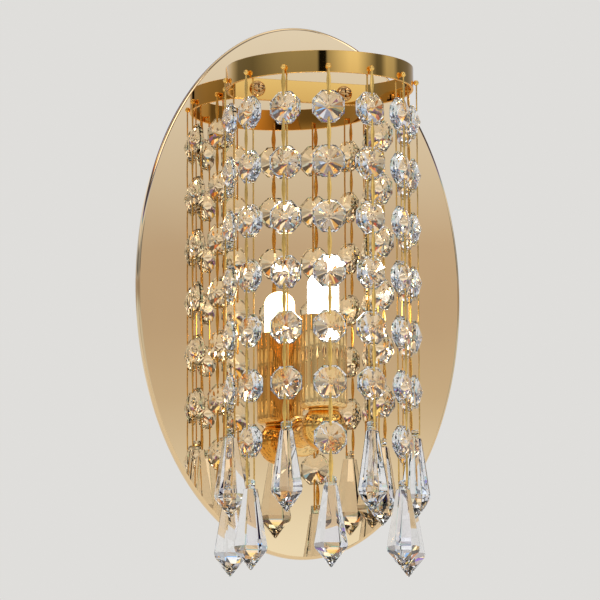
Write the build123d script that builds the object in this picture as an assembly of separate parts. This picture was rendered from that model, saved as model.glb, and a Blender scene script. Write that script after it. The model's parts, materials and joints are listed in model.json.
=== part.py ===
from build123d import *
import os
from math import acos, atan, cos, degrees, pi, radians, sin, sqrt

# Crystal wall sconce, in millimetres. The wall is the plane Y = 0, the light faces -Y and +Z is up.
# The origin is on the wall, behind the centre of the oval plate.

# ---------------------------------------------------------------- oval wall plate
PLATE_WIDTH = 148.0
PLATE_HEIGHT = 234.0
PLATE_THICKNESS = 3.0
PLATE_BEVEL = 1.2
WALL_GAP = 18.0

# ---------------------------------------------------------------- tray and bracket behind the plate
TRAY_MARGIN_X = 18.0
TRAY_MARGIN_Z = 13.0
TRAY_SHEET = 1.0
TRAY_WALL_CLEARANCE = 0.3
BRACKET_SHEET = 1.5
BRACKET_HEIGHT = 24.0
BRACKET_PAD_RADIUS = 26.0
BRACKET_SIDE_CLEARANCE = 0.6
BRACKET_FLANGE_DEPTH = 14.0
WALL_SLOT_SPACING = 60.0
WALL_SLOT_LENGTH = 12.0
WALL_SLOT_WIDTH = 4.6
CABLE_HOLE_RADIUS = 6.0
CABLE_HOLE_HEIGHT = 14.0
GROMMET_BORE_RADIUS = 4.0
GROMMET_LIP = 2.0
GROMMET_LIP_THICKNESS = 2.5
TRAY_SCREW_RADIUS = 2.0
TRAY_SCREW_HEAD_RADIUS = 3.6
TRAY_SCREW_HEAD_THICKNESS = 2.4
TRAY_SCREW_LENGTH = 7.0
TRAY_SCREW_DEPTH = 9.0

# ---------------------------------------------------------------- crystal ring
RING_RADIUS = 40.6
RING_THICKNESS = 1.2
RING_HEIGHT = 9.4
RING_DROP = 24.0
RING_CENTRE = 26.8
RING_CORNER = 2.6
RING_SCREW_SPACING = 40.0
RING_SCREW_RADIUS = 1.75
RING_SCREW_HEAD_RADIUS = 3.2
RING_SCREW_HEAD_HEIGHT = 2.0
RING_WASHER_RADIUS = 3.6
RING_WASHER_THICKNESS = 0.6
RING_NUT_WIDTH = 6.0
RING_NUT_THICKNESS = 2.6
CROSS_WIDTH = 0.8
CROSS_LENGTH = 3.4
CROSS_DEPTH = 1.0

# ---------------------------------------------------------------- crystal strands
STRAND_COUNT = 10
END_STRAND_DISTANCE = 6.71
PIN_HOLE_RADIUS = 0.8
PIN_HOLE_HEIGHT = 2.5
PIN_LENGTH = 12.0
PIN_HEAD_RADIUS = 0.95
PIN_HEAD_GAP = 0.2
PIN_HEAD_SIDES = 8
OCTAGON_WIDTH = 13.8
OCTAGON_THICKNESS = 7.2
OCTAGON_GIRDLE = 1.2
OCTAGON_HOLE = 1.3
OCTAGON_HOLE_OFFSET = 5.2
LONG_OCTAGON_COUNT = 7
SHORT_OCTAGON_COUNT = 6
LINK_LENGTH = 13.0
LINK_GAP = 3.4
LINK_STRIP = 0.4
LINK_WIRE = 0.7
DROP_NECK_WIDTH = 5.3
DROP_NECK_THICKNESS = 3.0
DROP_NECK_HEIGHT = 4.0
DROP_SHOULDER_WIDTH = 6.2
DROP_BODY_WIDTH = 14.4
DROP_BODY_LENGTH = 24.0
DROP_POINT_LENGTH = 9.8

# ---------------------------------------------------------------- lamp arm and hub
LAMP_REACH = 30.0
ARM_RISE = 53.5
ARM_RADIUS = 5.0
ARM_BORE_RADIUS = 3.5
ARM_THREAD_END = 1.0
ARM_WASHER_RADIUS = 9.0
ARM_WASHER_THICKNESS = 0.8
ARM_NUT_WIDTH = 14.0
ARM_NUT_THICKNESS = 3.0
ROSETTE_RADIUS = 9.0
ROSETTE_THICKNESS = 3.0
ROSETTE_BEVEL = 1.4
HUB_RADIUS = 9.7
HUB_TOP = 7.1
HUB_POCKET = 4.0
HUB_ARM_INSET = 4.5

# ---------------------------------------------------------------- lamp stack on the hub
NECK_RADIUS = 6.5
NECK_HEIGHT = 1.2
SLEEVE_RADIUS = 10.2
SLEEVE_WALL = 0.8
SLEEVE_HEIGHT = 40.0
SLEEVE_ROUND = 2.0
NIPPLE_RADIUS = 4.0
NIPPLE_BORE_RADIUS = 2.8
NIPPLE_INSET = 3.2
NIPPLE_END = 1.0
NIPPLE_NUT_WIDTH = 11.0
NIPPLE_NUT_THICKNESS = 3.0
STRAP_SHEET = 1.0
STRAP_REACH = 8.0
STRAP_DEPTH = 12.0
STRAP_EAR_WIDTH = 8.0
STRAP_TAB_WIDTH = 6.0
STRAP_TAB_HEIGHT = 9.0
SLEEVE_SCREW_RADIUS = 1.2
SLEEVE_SCREW_HEAD_RADIUS = 2.0
SLEEVE_SCREW_HEAD_THICKNESS = 1.0
SLEEVE_SCREW_HEIGHT = 6.2

# ---------------------------------------------------------------- bulb holder and bulb
HOLDER_RISE = 6.4
HOLDER_FOOT_HEIGHT = 8.0
HOLDER_FOOT_DEPTH = 10.0
HOLDER_HEAD_RADIUS = 8.6
HOLDER_HEAD_HEIGHT = 12.0
HOLDER_RECESS_DEPTH = 4.0
HOLDER_SCREW_RADIUS = 1.0
HOLDER_SCREW_HEAD_RADIUS = 1.8
HOLDER_SCREW_HEAD_THICKNESS = 0.9
HOLDER_SCREW_LENGTH = 3.0
CONTACT_SPACING = 9.0
CONTACT_RADIUS = 1.3
CONTACT_LENGTH = 7.0
BULB_RADIUS = 6.7
BULB_GLASS = 0.8
BULB_HEIGHT = 32.0
BULB_PINCH_WIDTH = 12.0
BULB_PINCH_THICKNESS = 3.6
BULB_PINCH_HEIGHT = 9.0
BULB_PIN_RADIUS = 0.8
BULB_PIN_LENGTH = 5.5
FILAMENT_WIRE = 0.5
FILAMENT_WIDTH = 6.0
FILAMENT_HEIGHT = 14.0

# ---------------------------------------------------------------- wiring
TERMINAL_WIDTH = 18.0
TERMINAL_DEPTH = 11.0
TERMINAL_HEIGHT = 13.0
TERMINAL_DROP = 16.5
TERMINAL_POLE_SPACING = 8.0
TERMINAL_BORE_RADIUS = 1.5
TERMINAL_SCREW_RADIUS = 1.6
TERMINAL_SCREW_DEPTH = 3.4
EARTH_SCREW_X = 15.0
EARTH_SCREW_HEIGHT = 10.0
EARTH_SCREW_RADIUS = 2.0
EARTH_SCREW_HEAD_RADIUS = 3.6
EARTH_SCREW_HEAD_THICKNESS = 2.2
EARTH_WASHER_RADIUS = 4.6
EARTH_WASHER_THICKNESS = 0.8
LEAD_RADIUS = 0.8
LEAD_SPACING = 2.3
LEAD_START_SPACING = 5.2
LEAD_WALL_DISTANCE = 8.0

# ---------------------------------------------------------------- fits
FIT = 0.05
SCREW_CLEARANCE = 0.2
SEAT = 0.1

# ---------------------------------------------------------------- sides of the pieces drawn with flat faces
THIN_RADIUS = 3.0
THIN_SIDES = 8
ROUND_SIDES = 24
SLEEVE_SIDES = 36
TRAY_SIDES = 60
HUB_BANDS = 8

# ---------------------------------------------------------------- places worked out from the sizes above
PLATE_BACK = -WALL_GAP
PLATE_FRONT = PLATE_BACK - PLATE_THICKNESS
TRAY_FLOOR = PLATE_BACK + TRAY_SHEET
TRAY_RADIUS_X = PLATE_WIDTH / 2 - TRAY_MARGIN_X
TRAY_RADIUS_Z = PLATE_HEIGHT / 2 - TRAY_MARGIN_Z
BRACKET_REACH = TRAY_RADIUS_X - TRAY_SHEET - BRACKET_SIDE_CLEARANCE
RING_Y = PLATE_FRONT - RING_CENTRE
RING_TOP = PLATE_HEIGHT / 2 - RING_DROP
RING_BOTTOM = RING_TOP - RING_HEIGHT
RING_MIDDLE = RING_TOP - RING_HEIGHT / 2
STRAND_RADIUS = RING_RADIUS - RING_THICKNESS / 2
STRAND_SPAN = 360 - 2 * degrees(acos((RING_CENTRE - END_STRAND_DISTANCE) / STRAND_RADIUS))
STRAND_PITCH = STRAND_SPAN / (STRAND_COUNT - 1)
PIN_HOLE_Z = RING_BOTTOM + PIN_HOLE_HEIGHT
FIRST_OCTAGON_Z = PIN_HOLE_Z - PIN_LENGTH - OCTAGON_HOLE_OFFSET
OCTAGON_PITCH = LINK_LENGTH + 2 * OCTAGON_HOLE_OFFSET
LAMP_Y = PLATE_FRONT - LAMP_REACH
ARM_HEIGHT = ARM_RISE - PLATE_HEIGHT / 2
HUB_TOP_Z = ARM_HEIGHT + HUB_TOP
SLEEVE_BOTTOM = HUB_TOP_Z + NECK_HEIGHT
STRAP_BOTTOM = SLEEVE_BOTTOM + SLEEVE_WALL
NIPPLE_NUT_BOTTOM = STRAP_BOTTOM + STRAP_SHEET
NIPPLE_TOP = NIPPLE_NUT_BOTTOM + NIPPLE_NUT_THICKNESS + NIPPLE_END
HOLDER_BOTTOM = NIPPLE_NUT_BOTTOM + NIPPLE_NUT_THICKNESS + HOLDER_RISE
HOLDER_SHOULDER = HOLDER_BOTTOM + HOLDER_FOOT_HEIGHT
HOLDER_TOP = HOLDER_SHOULDER + HOLDER_HEAD_HEIGHT
BULB_BASE = HOLDER_TOP - HOLDER_RECESS_DEPTH + SEAT
BULB_SHOULDER = BULB_BASE + BULB_PINCH_HEIGHT
TERMINAL_BOTTOM = -TERMINAL_DROP - TERMINAL_HEIGHT / 2

ALONG_Y = (90, 0, 0)
ALONG_X = (0, 90, 0)


def oval(radius_x, radius_z, y):
    """An upright oval face at the distance y from the wall."""
    return Location((0, y, 0), ALONG_Y) * Ellipse(radius_x, radius_z)


def bar(radius, length):
    """A bar of many flat sides, centred on the origin along Z; thin bars have fewer sides."""
    sides = THIN_SIDES if radius < THIN_RADIUS else ROUND_SIDES
    return extrude(RegularPolygon(radius, sides), length / 2, both=True)


def rod_y(radius, front, back, x=0.0, z=0.0):
    """A bar square to the wall."""
    return Pos(x, (front + back) / 2, z) * Rot(*ALONG_Y) * bar(radius, back - front)


def rod_z(radius, bottom, top, x=0.0, y=LAMP_Y):
    """An upright bar, on the lamp's axis unless told otherwise."""
    return Pos(x, y, (bottom + top) / 2) * bar(radius, top - bottom)


def rod_x(radius, left, right, y, z):
    """A bar that runs across the light."""
    return Pos((left + right) / 2, y, z) * Rot(*ALONG_X) * bar(radius, right - left)


def block(x0, x1, y0, y1, z0, z1):
    """A box between two corners."""
    return Pos((x0 + x1) / 2, (y0 + y1) / 2, (z0 + z1) / 2) * Box(x1 - x0, y1 - y0, z1 - z0)


def hexagon(width):
    """A hexagon of the given width across its flats."""
    return RegularPolygon(width / 2, 6, major_radius=False)


def cut_round(profile, sides, place):
    """A turned form drawn with flat faces: (radius, height) points from the bottom to the top."""
    rings = []
    for radius, height in profile:
        turns = [2 * pi * step / sides for step in range(sides)]
        rings.append([(radius * cos(turn), radius * sin(turn), height) for turn in turns])
    faces = []
    for ring in (rings[0], rings[-1]):
        faces.append(Face(Wire.make_polygon(ring, close=True)))
    for low, high in zip(rings, rings[1:]):
        for step in range(sides):
            after = (step + 1) % sides
            corners = [low[step], low[after], high[after], high[step]]
            faces.append(Face(Wire.make_polygon(corners, close=True)))
    return place * Solid(Shell(faces))


def mirrored_pair(piece):
    """A piece and its twin on the other side of the light's middle plane."""
    return Compound(children=[piece, mirror(piece, Plane.YZ)])


def plate_holes(radius_gain):
    """The holes that the ring's screws and the lamp's arm pass through."""
    front = PLATE_FRONT - RING_THICKNESS - 1
    back = TRAY_FLOOR + 1
    holes = [rod_y(ARM_RADIUS + radius_gain, front, back, 0, ARM_HEIGHT)]
    for side in (-1, 1):
        x = side * RING_SCREW_SPACING / 2
        holes.append(rod_y(RING_SCREW_RADIUS + radius_gain, front, back, x, RING_MIDDLE))
    return holes


# ================================================================ plate, tray and wall bracket
def back_plate():
    """The oval mirror-polished plate, with a bright bevel round its front edge."""
    bevel_start = PLATE_FRONT + PLATE_BEVEL
    body = extrude(oval(PLATE_WIDTH / 2, PLATE_HEIGHT / 2, PLATE_BACK), amount=PLATE_BACK - bevel_start)
    rim = oval(PLATE_WIDTH / 2, PLATE_HEIGHT / 2, bevel_start)
    face = oval(PLATE_WIDTH / 2 - PLATE_BEVEL, PLATE_HEIGHT / 2 - PLATE_BEVEL, PLATE_FRONT)
    return body + loft([rim, face], ruled=True) - plate_holes(SCREW_CLEARANCE)


def tray_slab(inset, front, back):
    """An oval slab with the tray's outline, drawn in from its wall by an inset."""
    turns = [2 * pi * step / TRAY_SIDES for step in range(TRAY_SIDES)]
    rim = [((TRAY_RADIUS_X - inset) * cos(turn), (TRAY_RADIUS_Z - inset) * sin(turn)) for turn in turns]
    outline = make_face(Polyline(*rim, close=True))
    return Location((0, back, 0), ALONG_Y) * extrude(outline, back - front)


def rear_tray():
    """The sheet tray that carries the plate and hides the bracket and the wiring."""
    rim = -TRAY_WALL_CLEARANCE
    shell = tray_slab(0, PLATE_BACK, rim) - tray_slab(TRAY_SHEET, TRAY_FLOOR, rim + 1)
    hole = TRAY_SCREW_RADIUS + SCREW_CLEARANCE
    side_holes = rod_x(hole, -TRAY_RADIUS_X - 1, TRAY_RADIUS_X + 1, -TRAY_SCREW_DEPTH, 0)
    return shell - plate_holes(SCREW_CLEARANCE) - side_holes


def wall_bracket():
    """The pressed bracket that is screwed to the wall, with a turned-out flange at each end."""
    half = BRACKET_HEIGHT / 2
    inner = BRACKET_REACH - BRACKET_SHEET
    strip = block(-BRACKET_REACH, BRACKET_REACH, -BRACKET_SHEET, 0, -half, half)
    strip += rod_y(BRACKET_PAD_RADIUS, -BRACKET_SHEET, 0)
    for side in (-1, 1):
        low, high = sorted((side * inner, side * BRACKET_REACH))
        strip += block(low, high, -BRACKET_FLANGE_DEPTH, -BRACKET_SHEET, -half, half)
    slot = Location((0, 1, 0), ALONG_Y) * SlotOverall(WALL_SLOT_LENGTH, WALL_SLOT_WIDTH)
    slot = extrude(slot, amount=BRACKET_SHEET + 2)
    for side in (-1, 1):
        strip -= Pos(side * WALL_SLOT_SPACING / 2, 0, 0) * slot
    strip -= rod_y(CABLE_HOLE_RADIUS, -BRACKET_SHEET - 1, 1, 0, CABLE_HOLE_HEIGHT)
    strip -= rod_y(EARTH_SCREW_RADIUS + FIT, -BRACKET_SHEET - 1, 1, EARTH_SCREW_X, EARTH_SCREW_HEIGHT)
    threads = rod_x(TRAY_SCREW_RADIUS + FIT, -BRACKET_REACH - 1, BRACKET_REACH + 1, -TRAY_SCREW_DEPTH, 0)
    return strip - threads


def cable_grommet():
    """The rubber ring that lines the cable hole, flush with the wall side of the bracket."""
    body = rod_y(CABLE_HOLE_RADIUS - FIT, -BRACKET_SHEET, 0, 0, CABLE_HOLE_HEIGHT)
    front = -BRACKET_SHEET - GROMMET_LIP_THICKNESS
    body += rod_y(CABLE_HOLE_RADIUS + GROMMET_LIP, front, -BRACKET_SHEET, 0, CABLE_HOLE_HEIGHT)
    bore = Cylinder(GROMMET_BORE_RADIUS, WALL_GAP)
    return body - Location((0, 0, CABLE_HOLE_HEIGHT), ALONG_Y) * bore


def tray_screws():
    """The two side screws that hold the tray to the bracket's flanges."""
    end = TRAY_RADIUS_X + SEAT
    screw = rod_x(TRAY_SCREW_RADIUS, end - TRAY_SCREW_LENGTH, end, -TRAY_SCREW_DEPTH, 0)
    head_end = end + TRAY_SCREW_HEAD_THICKNESS
    screw += rod_x(TRAY_SCREW_HEAD_RADIUS, end, head_end, -TRAY_SCREW_DEPTH, 0)
    slot = block(head_end - CROSS_DEPTH, head_end + 1, -TRAY_SCREW_DEPTH - TRAY_SCREW_HEAD_RADIUS,
                 -TRAY_SCREW_DEPTH + TRAY_SCREW_HEAD_RADIUS, -CROSS_WIDTH / 2, CROSS_WIDTH / 2)
    return mirrored_pair(screw - slot)


# ================================================================ ring
def ring_outline(inset):
    """The ring seen from above: an arc that closes with a flat against the plate."""
    flat = PLATE_FRONT - inset
    disc = Pos(0, RING_Y) * Circle(RING_RADIUS - inset)
    reach = 2 * RING_RADIUS
    outline = disc - Pos(0, flat + reach / 2) * Rectangle(reach, reach)
    return fillet(outline.vertices(), RING_CORNER - inset)


def strand_angle(index):
    """The direction of a strand from the ring's axis, in degrees from straight ahead."""
    return (index - (STRAND_COUNT - 1) / 2) * STRAND_PITCH


def strand_place(index):
    """Where a strand hangs: local X along the ring, local -Y away from the ring's axis."""
    angle = strand_angle(index)
    x = STRAND_RADIUS * sin(radians(angle))
    y = RING_Y - STRAND_RADIUS * cos(radians(angle))
    return Location((x, y, 0), (0, 0, angle))


def ring_band():
    """The polished band, drilled for the strands' pins and for its two fixing screws."""
    band = Pos(0, 0, RING_BOTTOM) * extrude(ring_outline(0) - ring_outline(RING_THICKNESS), RING_HEIGHT)
    drill = Pos(0, 0, PIN_HOLE_Z) * Box(2 * PIN_HOLE_RADIUS, 2 * RING_THICKNESS, 2 * PIN_HOLE_RADIUS)
    band -= [strand_place(index) * drill for index in range(STRAND_COUNT)]
    return band - plate_holes(SCREW_CLEARANCE)[1:]


def ring_screws():
    """The two round-headed cross screws that hold the ring, the plate and the tray together."""
    seat = PLATE_FRONT - RING_THICKNESS
    radius = RING_SCREW_HEAD_RADIUS
    height = RING_SCREW_HEAD_HEIGHT
    profile = [(radius, 0), (radius, 0.3 * height), (0.84 * radius, 0.72 * height), (0.5 * radius, height)]
    x = RING_SCREW_SPACING / 2
    head = cut_round(profile, ROUND_SIDES, Location((x, seat, RING_MIDDLE), ALONG_Y))
    tip = TRAY_FLOOR + RING_WASHER_THICKNESS + RING_NUT_THICKNESS + CROSS_DEPTH
    screw = head + rod_y(RING_SCREW_RADIUS, seat, tip, x, RING_MIDDLE)
    for width, length in ((CROSS_WIDTH, CROSS_LENGTH), (CROSS_LENGTH, CROSS_WIDTH)):
        recess = Box(width, CROSS_DEPTH, length)
        screw -= Pos(x, seat - height + CROSS_DEPTH / 2, RING_MIDDLE) * recess
    return mirrored_pair(screw)


def ring_washers():
    """The washers under the ring screws' nuts."""
    x = RING_SCREW_SPACING / 2
    back = TRAY_FLOOR + RING_WASHER_THICKNESS
    washer = rod_y(RING_WASHER_RADIUS, TRAY_FLOOR, back, x, RING_MIDDLE)
    return mirrored_pair(washer - rod_y(RING_SCREW_RADIUS + SCREW_CLEARANCE, TRAY_FLOOR - 1, back + 1, x, RING_MIDDLE))


def ring_nuts():
    """The hexagon nuts on the ring screws, inside the tray."""
    x = RING_SCREW_SPACING / 2
    front = TRAY_FLOOR + RING_WASHER_THICKNESS
    back = front + RING_NUT_THICKNESS
    nut = Location((x, back, RING_MIDDLE), ALONG_Y) * extrude(hexagon(RING_NUT_WIDTH), RING_NUT_THICKNESS)
    return mirrored_pair(nut - rod_y(RING_SCREW_RADIUS + FIT, front - 1, back + 1, x, RING_MIDDLE))


# ================================================================ strands
def octagon_crystal():
    """A cut octagon, centred on the origin: a thin girdle between two eight-sided points."""
    outline = RegularPolygon(OCTAGON_WIDTH / 2, 8, major_radius=False, rotation=22.5)
    girdle = Location((0, OCTAGON_GIRDLE / 2, 0), ALONG_Y) * outline
    crystal = extrude(girdle, OCTAGON_GIRDLE)
    for side in (-1, 1):
        rim = Location((0, side * OCTAGON_GIRDLE / 2, 0), ALONG_Y) * outline
        tip = Vertex(0, side * OCTAGON_THICKNESS / 2, 0)
        crystal += loft([rim.face(), tip], ruled=True)
    hole = Box(OCTAGON_HOLE, OCTAGON_THICKNESS, OCTAGON_HOLE)
    return crystal - Pos(0, 0, OCTAGON_HOLE_OFFSET) * hole - Pos(0, 0, -OCTAGON_HOLE_OFFSET) * hole


def side_profile(points):
    """A closed outline in the plane that runs straight out from the ring's axis."""
    return make_face(Polyline(*[(0, y, z) for y, z in points], close=True))


def wire_link():
    """A flat link hung from z = 0: two long legs joined by the wires that pass through the crystals."""
    inner = LINK_GAP / 2
    outer = inner + LINK_STRIP
    end = LINK_WIRE / 2
    loop = side_profile([(-outer, end), (outer, end), (outer, -LINK_LENGTH - end), (-outer, -LINK_LENGTH - end)])
    loop -= side_profile([(-inner, -end), (inner, -end), (inner, end - LINK_LENGTH), (-inner, end - LINK_LENGTH)])
    return extrude(loop, LINK_WIRE / 2, both=True, dir=(1, 0, 0))


def ball_pin():
    """The pin at the top of a strand: its ball head rests outside the band, its legs hold the first crystal."""
    inner = LINK_GAP / 2
    outer = inner + LINK_STRIP
    end = LINK_WIRE / 2
    head = RING_THICKNESS / 2 + PIN_HEAD_GAP + PIN_HEAD_RADIUS
    loop = side_profile([(-head, end), (outer, end), (outer, -PIN_LENGTH - end), (-outer, -PIN_LENGTH - end),
                         (-outer, -3 * PIN_HEAD_RADIUS), (-head - LINK_STRIP / 2, -PIN_HEAD_RADIUS / 2)])
    loop -= side_profile([(-head + LINK_STRIP / 2, -end), (inner, -end), (inner, end - PIN_LENGTH),
                          (-inner, end - PIN_LENGTH), (-inner, -3 * PIN_HEAD_RADIUS)])
    pin = extrude(loop, LINK_WIRE / 2, both=True, dir=(1, 0, 0))
    pole = PIN_HEAD_RADIUS / 2
    lift = 0.85 * PIN_HEAD_RADIUS
    profile = [(pole, -lift), (PIN_HEAD_RADIUS, 0), (pole, lift)]
    return pin + cut_round(profile, PIN_HEAD_SIDES, Pos(0, -head, 0))


def crystal_drop():
    """A hexagonal icicle drop whose hole is at the origin."""
    top = DROP_NECK_HEIGHT / 2
    hole = Box(OCTAGON_HOLE, DROP_NECK_THICKNESS + 2, OCTAGON_HOLE)
    neck = Box(DROP_NECK_WIDTH, DROP_NECK_THICKNESS, DROP_NECK_HEIGHT) - hole
    waist = -top - DROP_BODY_LENGTH
    widest = Pos(0, 0, waist) * RegularPolygon(DROP_BODY_WIDTH / 2, 6)
    narrowing = cos(radians(30)) * (DROP_BODY_WIDTH - DROP_SHOULDER_WIDTH) / 2
    body = extrude(widest, DROP_BODY_LENGTH, taper=degrees(atan(narrowing / DROP_BODY_LENGTH)))
    point = loft([widest.face(), Vertex(0, 0, waist - DROP_POINT_LENGTH)], ruled=True)
    return neck + body + point


def octagon_count(index):
    """Long and short strands take turns round the ring."""
    return LONG_OCTAGON_COUNT if index % 2 == 0 else SHORT_OCTAGON_COUNT


def octagon_height(number):
    """The height of an octagon's centre, counted from the top of its strand."""
    return FIRST_OCTAGON_Z - number * OCTAGON_PITCH


def strand_octagons(index, crystal):
    """The octagons of one strand."""
    place = strand_place(index)
    heights = [octagon_height(number) for number in range(octagon_count(index))]
    return Compound(children=[place * Pos(0, 0, z) * crystal for z in heights])


def strand_links(index, pin, link):
    """The ball pin and the links of one strand."""
    place = strand_place(index)
    pieces = [place * Pos(0, 0, PIN_HOLE_Z) * pin]
    for number in range(octagon_count(index)):
        lower_hole = octagon_height(number) - OCTAGON_HOLE_OFFSET
        pieces.append(place * Pos(0, 0, lower_hole) * link)
    return Compound(children=pieces)


def strand_drop(index, drop):
    """The drop at the end of one strand."""
    last = octagon_height(octagon_count(index) - 1)
    return strand_place(index) * Pos(0, 0, last - OCTAGON_HOLE_OFFSET - LINK_LENGTH) * drop


# ================================================================ lamp arm and hub
def lamp_arm():
    """The threaded tube that carries the lamp and its leads out from the tray."""
    back = TRAY_FLOOR + ARM_WASHER_THICKNESS + ARM_NUT_THICKNESS + ARM_THREAD_END
    front = LAMP_Y + HUB_ARM_INSET
    tube = rod_y(ARM_RADIUS, front, back, 0, ARM_HEIGHT)
    return tube - rod_y(ARM_BORE_RADIUS, front - 1, back + 1, 0, ARM_HEIGHT)


def arm_rosette():
    """The bevelled collar round the arm, against the plate."""
    profile = [(ROSETTE_RADIUS, 0), (ROSETTE_RADIUS, ROSETTE_THICKNESS - ROSETTE_BEVEL)]
    profile.append((ROSETTE_RADIUS - ROSETTE_BEVEL, ROSETTE_THICKNESS))
    collar = cut_round(profile, ROUND_SIDES, Location((0, PLATE_FRONT, ARM_HEIGHT), ALONG_Y))
    return collar - rod_y(ARM_RADIUS + SEAT, PLATE_FRONT - ROSETTE_THICKNESS - 1, PLATE_BACK, 0, ARM_HEIGHT)


def arm_washer():
    """The washer under the arm's nut."""
    back = TRAY_FLOOR + ARM_WASHER_THICKNESS
    washer = rod_y(ARM_WASHER_RADIUS, TRAY_FLOOR, back, 0, ARM_HEIGHT)
    return washer - rod_y(ARM_RADIUS + SCREW_CLEARANCE, TRAY_FLOOR - 1, back + 1, 0, ARM_HEIGHT)


def arm_nut():
    """The thin hexagon nut that clamps the arm to the plate and the tray."""
    front = TRAY_FLOOR + ARM_WASHER_THICKNESS
    back = front + ARM_NUT_THICKNESS
    nut = Location((0, back, ARM_HEIGHT), ALONG_Y) * extrude(hexagon(ARM_NUT_WIDTH), ARM_NUT_THICKNESS)
    return nut - rod_y(ARM_RADIUS + FIT, front - 1, back + 1, 0, ARM_HEIGHT)


def lamp_hub():
    """The ball at the end of the arm, flat on top and drilled through for the leads."""
    bottom = -0.98 * HUB_RADIUS
    profile = []
    for step in range(HUB_BANDS + 1):
        height = bottom + (HUB_TOP - bottom) * (1 - cos(pi * step / HUB_BANDS)) / 2
        profile.append((sqrt(HUB_RADIUS**2 - height**2), height))
    ball = cut_round(profile, ROUND_SIDES, Location((0, LAMP_Y, ARM_HEIGHT)))
    ball -= rod_y(ARM_RADIUS + FIT, LAMP_Y - HUB_POCKET, LAMP_Y + HUB_RADIUS, 0, ARM_HEIGHT)
    return ball - rod_z(NIPPLE_RADIUS + FIT, ARM_HEIGHT - HUB_POCKET, HUB_TOP_Z + 1)


# ================================================================ lamp stack
def neck_collar():
    """The short neck between the hub and the sleeve."""
    collar = rod_z(NECK_RADIUS, HUB_TOP_Z, SLEEVE_BOTTOM)
    return collar - rod_z(NIPPLE_RADIUS + SEAT, HUB_TOP_Z - 1, SLEEVE_BOTTOM + 1)


def lamp_nipple():
    """The threaded tube that ties the hub, neck, sleeve and strap together."""
    bottom = HUB_TOP_Z - NIPPLE_INSET
    tube = rod_z(NIPPLE_RADIUS, bottom, NIPPLE_TOP)
    return tube - rod_z(NIPPLE_BORE_RADIUS, bottom - 1, NIPPLE_TOP + 1)


def nipple_nut():
    """The hexagon nut that clamps the stack on the nipple."""
    nut = Pos(0, LAMP_Y, NIPPLE_NUT_BOTTOM) * extrude(hexagon(NIPPLE_NUT_WIDTH), NIPPLE_NUT_THICKNESS)
    top = NIPPLE_NUT_BOTTOM + NIPPLE_NUT_THICKNESS
    return nut - rod_z(NIPPLE_RADIUS + FIT, NIPPLE_NUT_BOTTOM - 1, top + 1)


def sleeve_room(gap):
    """The room inside the sleeve, drawn in from its walls by a gap."""
    radius = SLEEVE_RADIUS - SLEEVE_WALL - gap
    corner = radius - SLEEVE_ROUND + SLEEVE_WALL
    profile = [(corner, SLEEVE_WALL), (radius, SLEEVE_ROUND), (radius, SLEEVE_HEIGHT + 1)]
    return cut_round(profile, SLEEVE_SIDES, Location((0, LAMP_Y, SLEEVE_BOTTOM)))


def lamp_sleeve():
    """The tall polished sleeve round the bulb holder, with a rounded lower edge."""
    profile = [(SLEEVE_RADIUS - SLEEVE_ROUND, 0), (SLEEVE_RADIUS - SLEEVE_ROUND / 3, SLEEVE_ROUND / 3)]
    profile += [(SLEEVE_RADIUS, SLEEVE_ROUND), (SLEEVE_RADIUS, SLEEVE_HEIGHT)]
    sleeve = cut_round(profile, SLEEVE_SIDES, Location((0, LAMP_Y, SLEEVE_BOTTOM))) - sleeve_room(0)
    sleeve -= rod_z(NIPPLE_RADIUS + SCREW_CLEARANCE, SLEEVE_BOTTOM - 1, STRAP_BOTTOM + 1)
    z = SLEEVE_BOTTOM + SLEEVE_SCREW_HEIGHT
    return sleeve - rod_y(SLEEVE_SCREW_RADIUS + SCREW_CLEARANCE, LAMP_Y, LAMP_Y + SLEEVE_RADIUS + 1, 0, z)


def holder_strap():
    """The strap that holds the porcelain holder: a base, two ears and a rear tab for the sleeve's screw."""
    base = block(-STRAP_REACH, STRAP_REACH, LAMP_Y - STRAP_DEPTH / 2, LAMP_Y + STRAP_REACH,
                 STRAP_BOTTOM, NIPPLE_NUT_BOTTOM)
    half = STRAP_EAR_WIDTH / 2
    for side in (-1, 1):
        low, high = sorted((side * (STRAP_REACH - STRAP_SHEET), side * STRAP_REACH))
        base += block(low, high, LAMP_Y - half, LAMP_Y + half, STRAP_BOTTOM, HOLDER_SHOULDER - SEAT)
    tab = STRAP_TAB_WIDTH / 2
    base += block(-tab, tab, LAMP_Y + STRAP_REACH - STRAP_SHEET, LAMP_Y + STRAP_REACH,
                  STRAP_BOTTOM, STRAP_BOTTOM + STRAP_TAB_HEIGHT)
    base &= sleeve_room(FIT)
    base -= rod_z(NIPPLE_RADIUS + SCREW_CLEARANCE, STRAP_BOTTOM - 1, NIPPLE_NUT_BOTTOM + 1)
    screw_z = SLEEVE_BOTTOM + SLEEVE_SCREW_HEIGHT
    base -= rod_y(SLEEVE_SCREW_RADIUS + FIT, LAMP_Y, LAMP_Y + SLEEVE_RADIUS, 0, screw_z)
    hole_z = HOLDER_BOTTOM + HOLDER_FOOT_HEIGHT / 2
    return base - rod_x(HOLDER_SCREW_RADIUS + SCREW_CLEARANCE, -STRAP_REACH - 1, STRAP_REACH + 1, LAMP_Y, hole_z)


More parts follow.
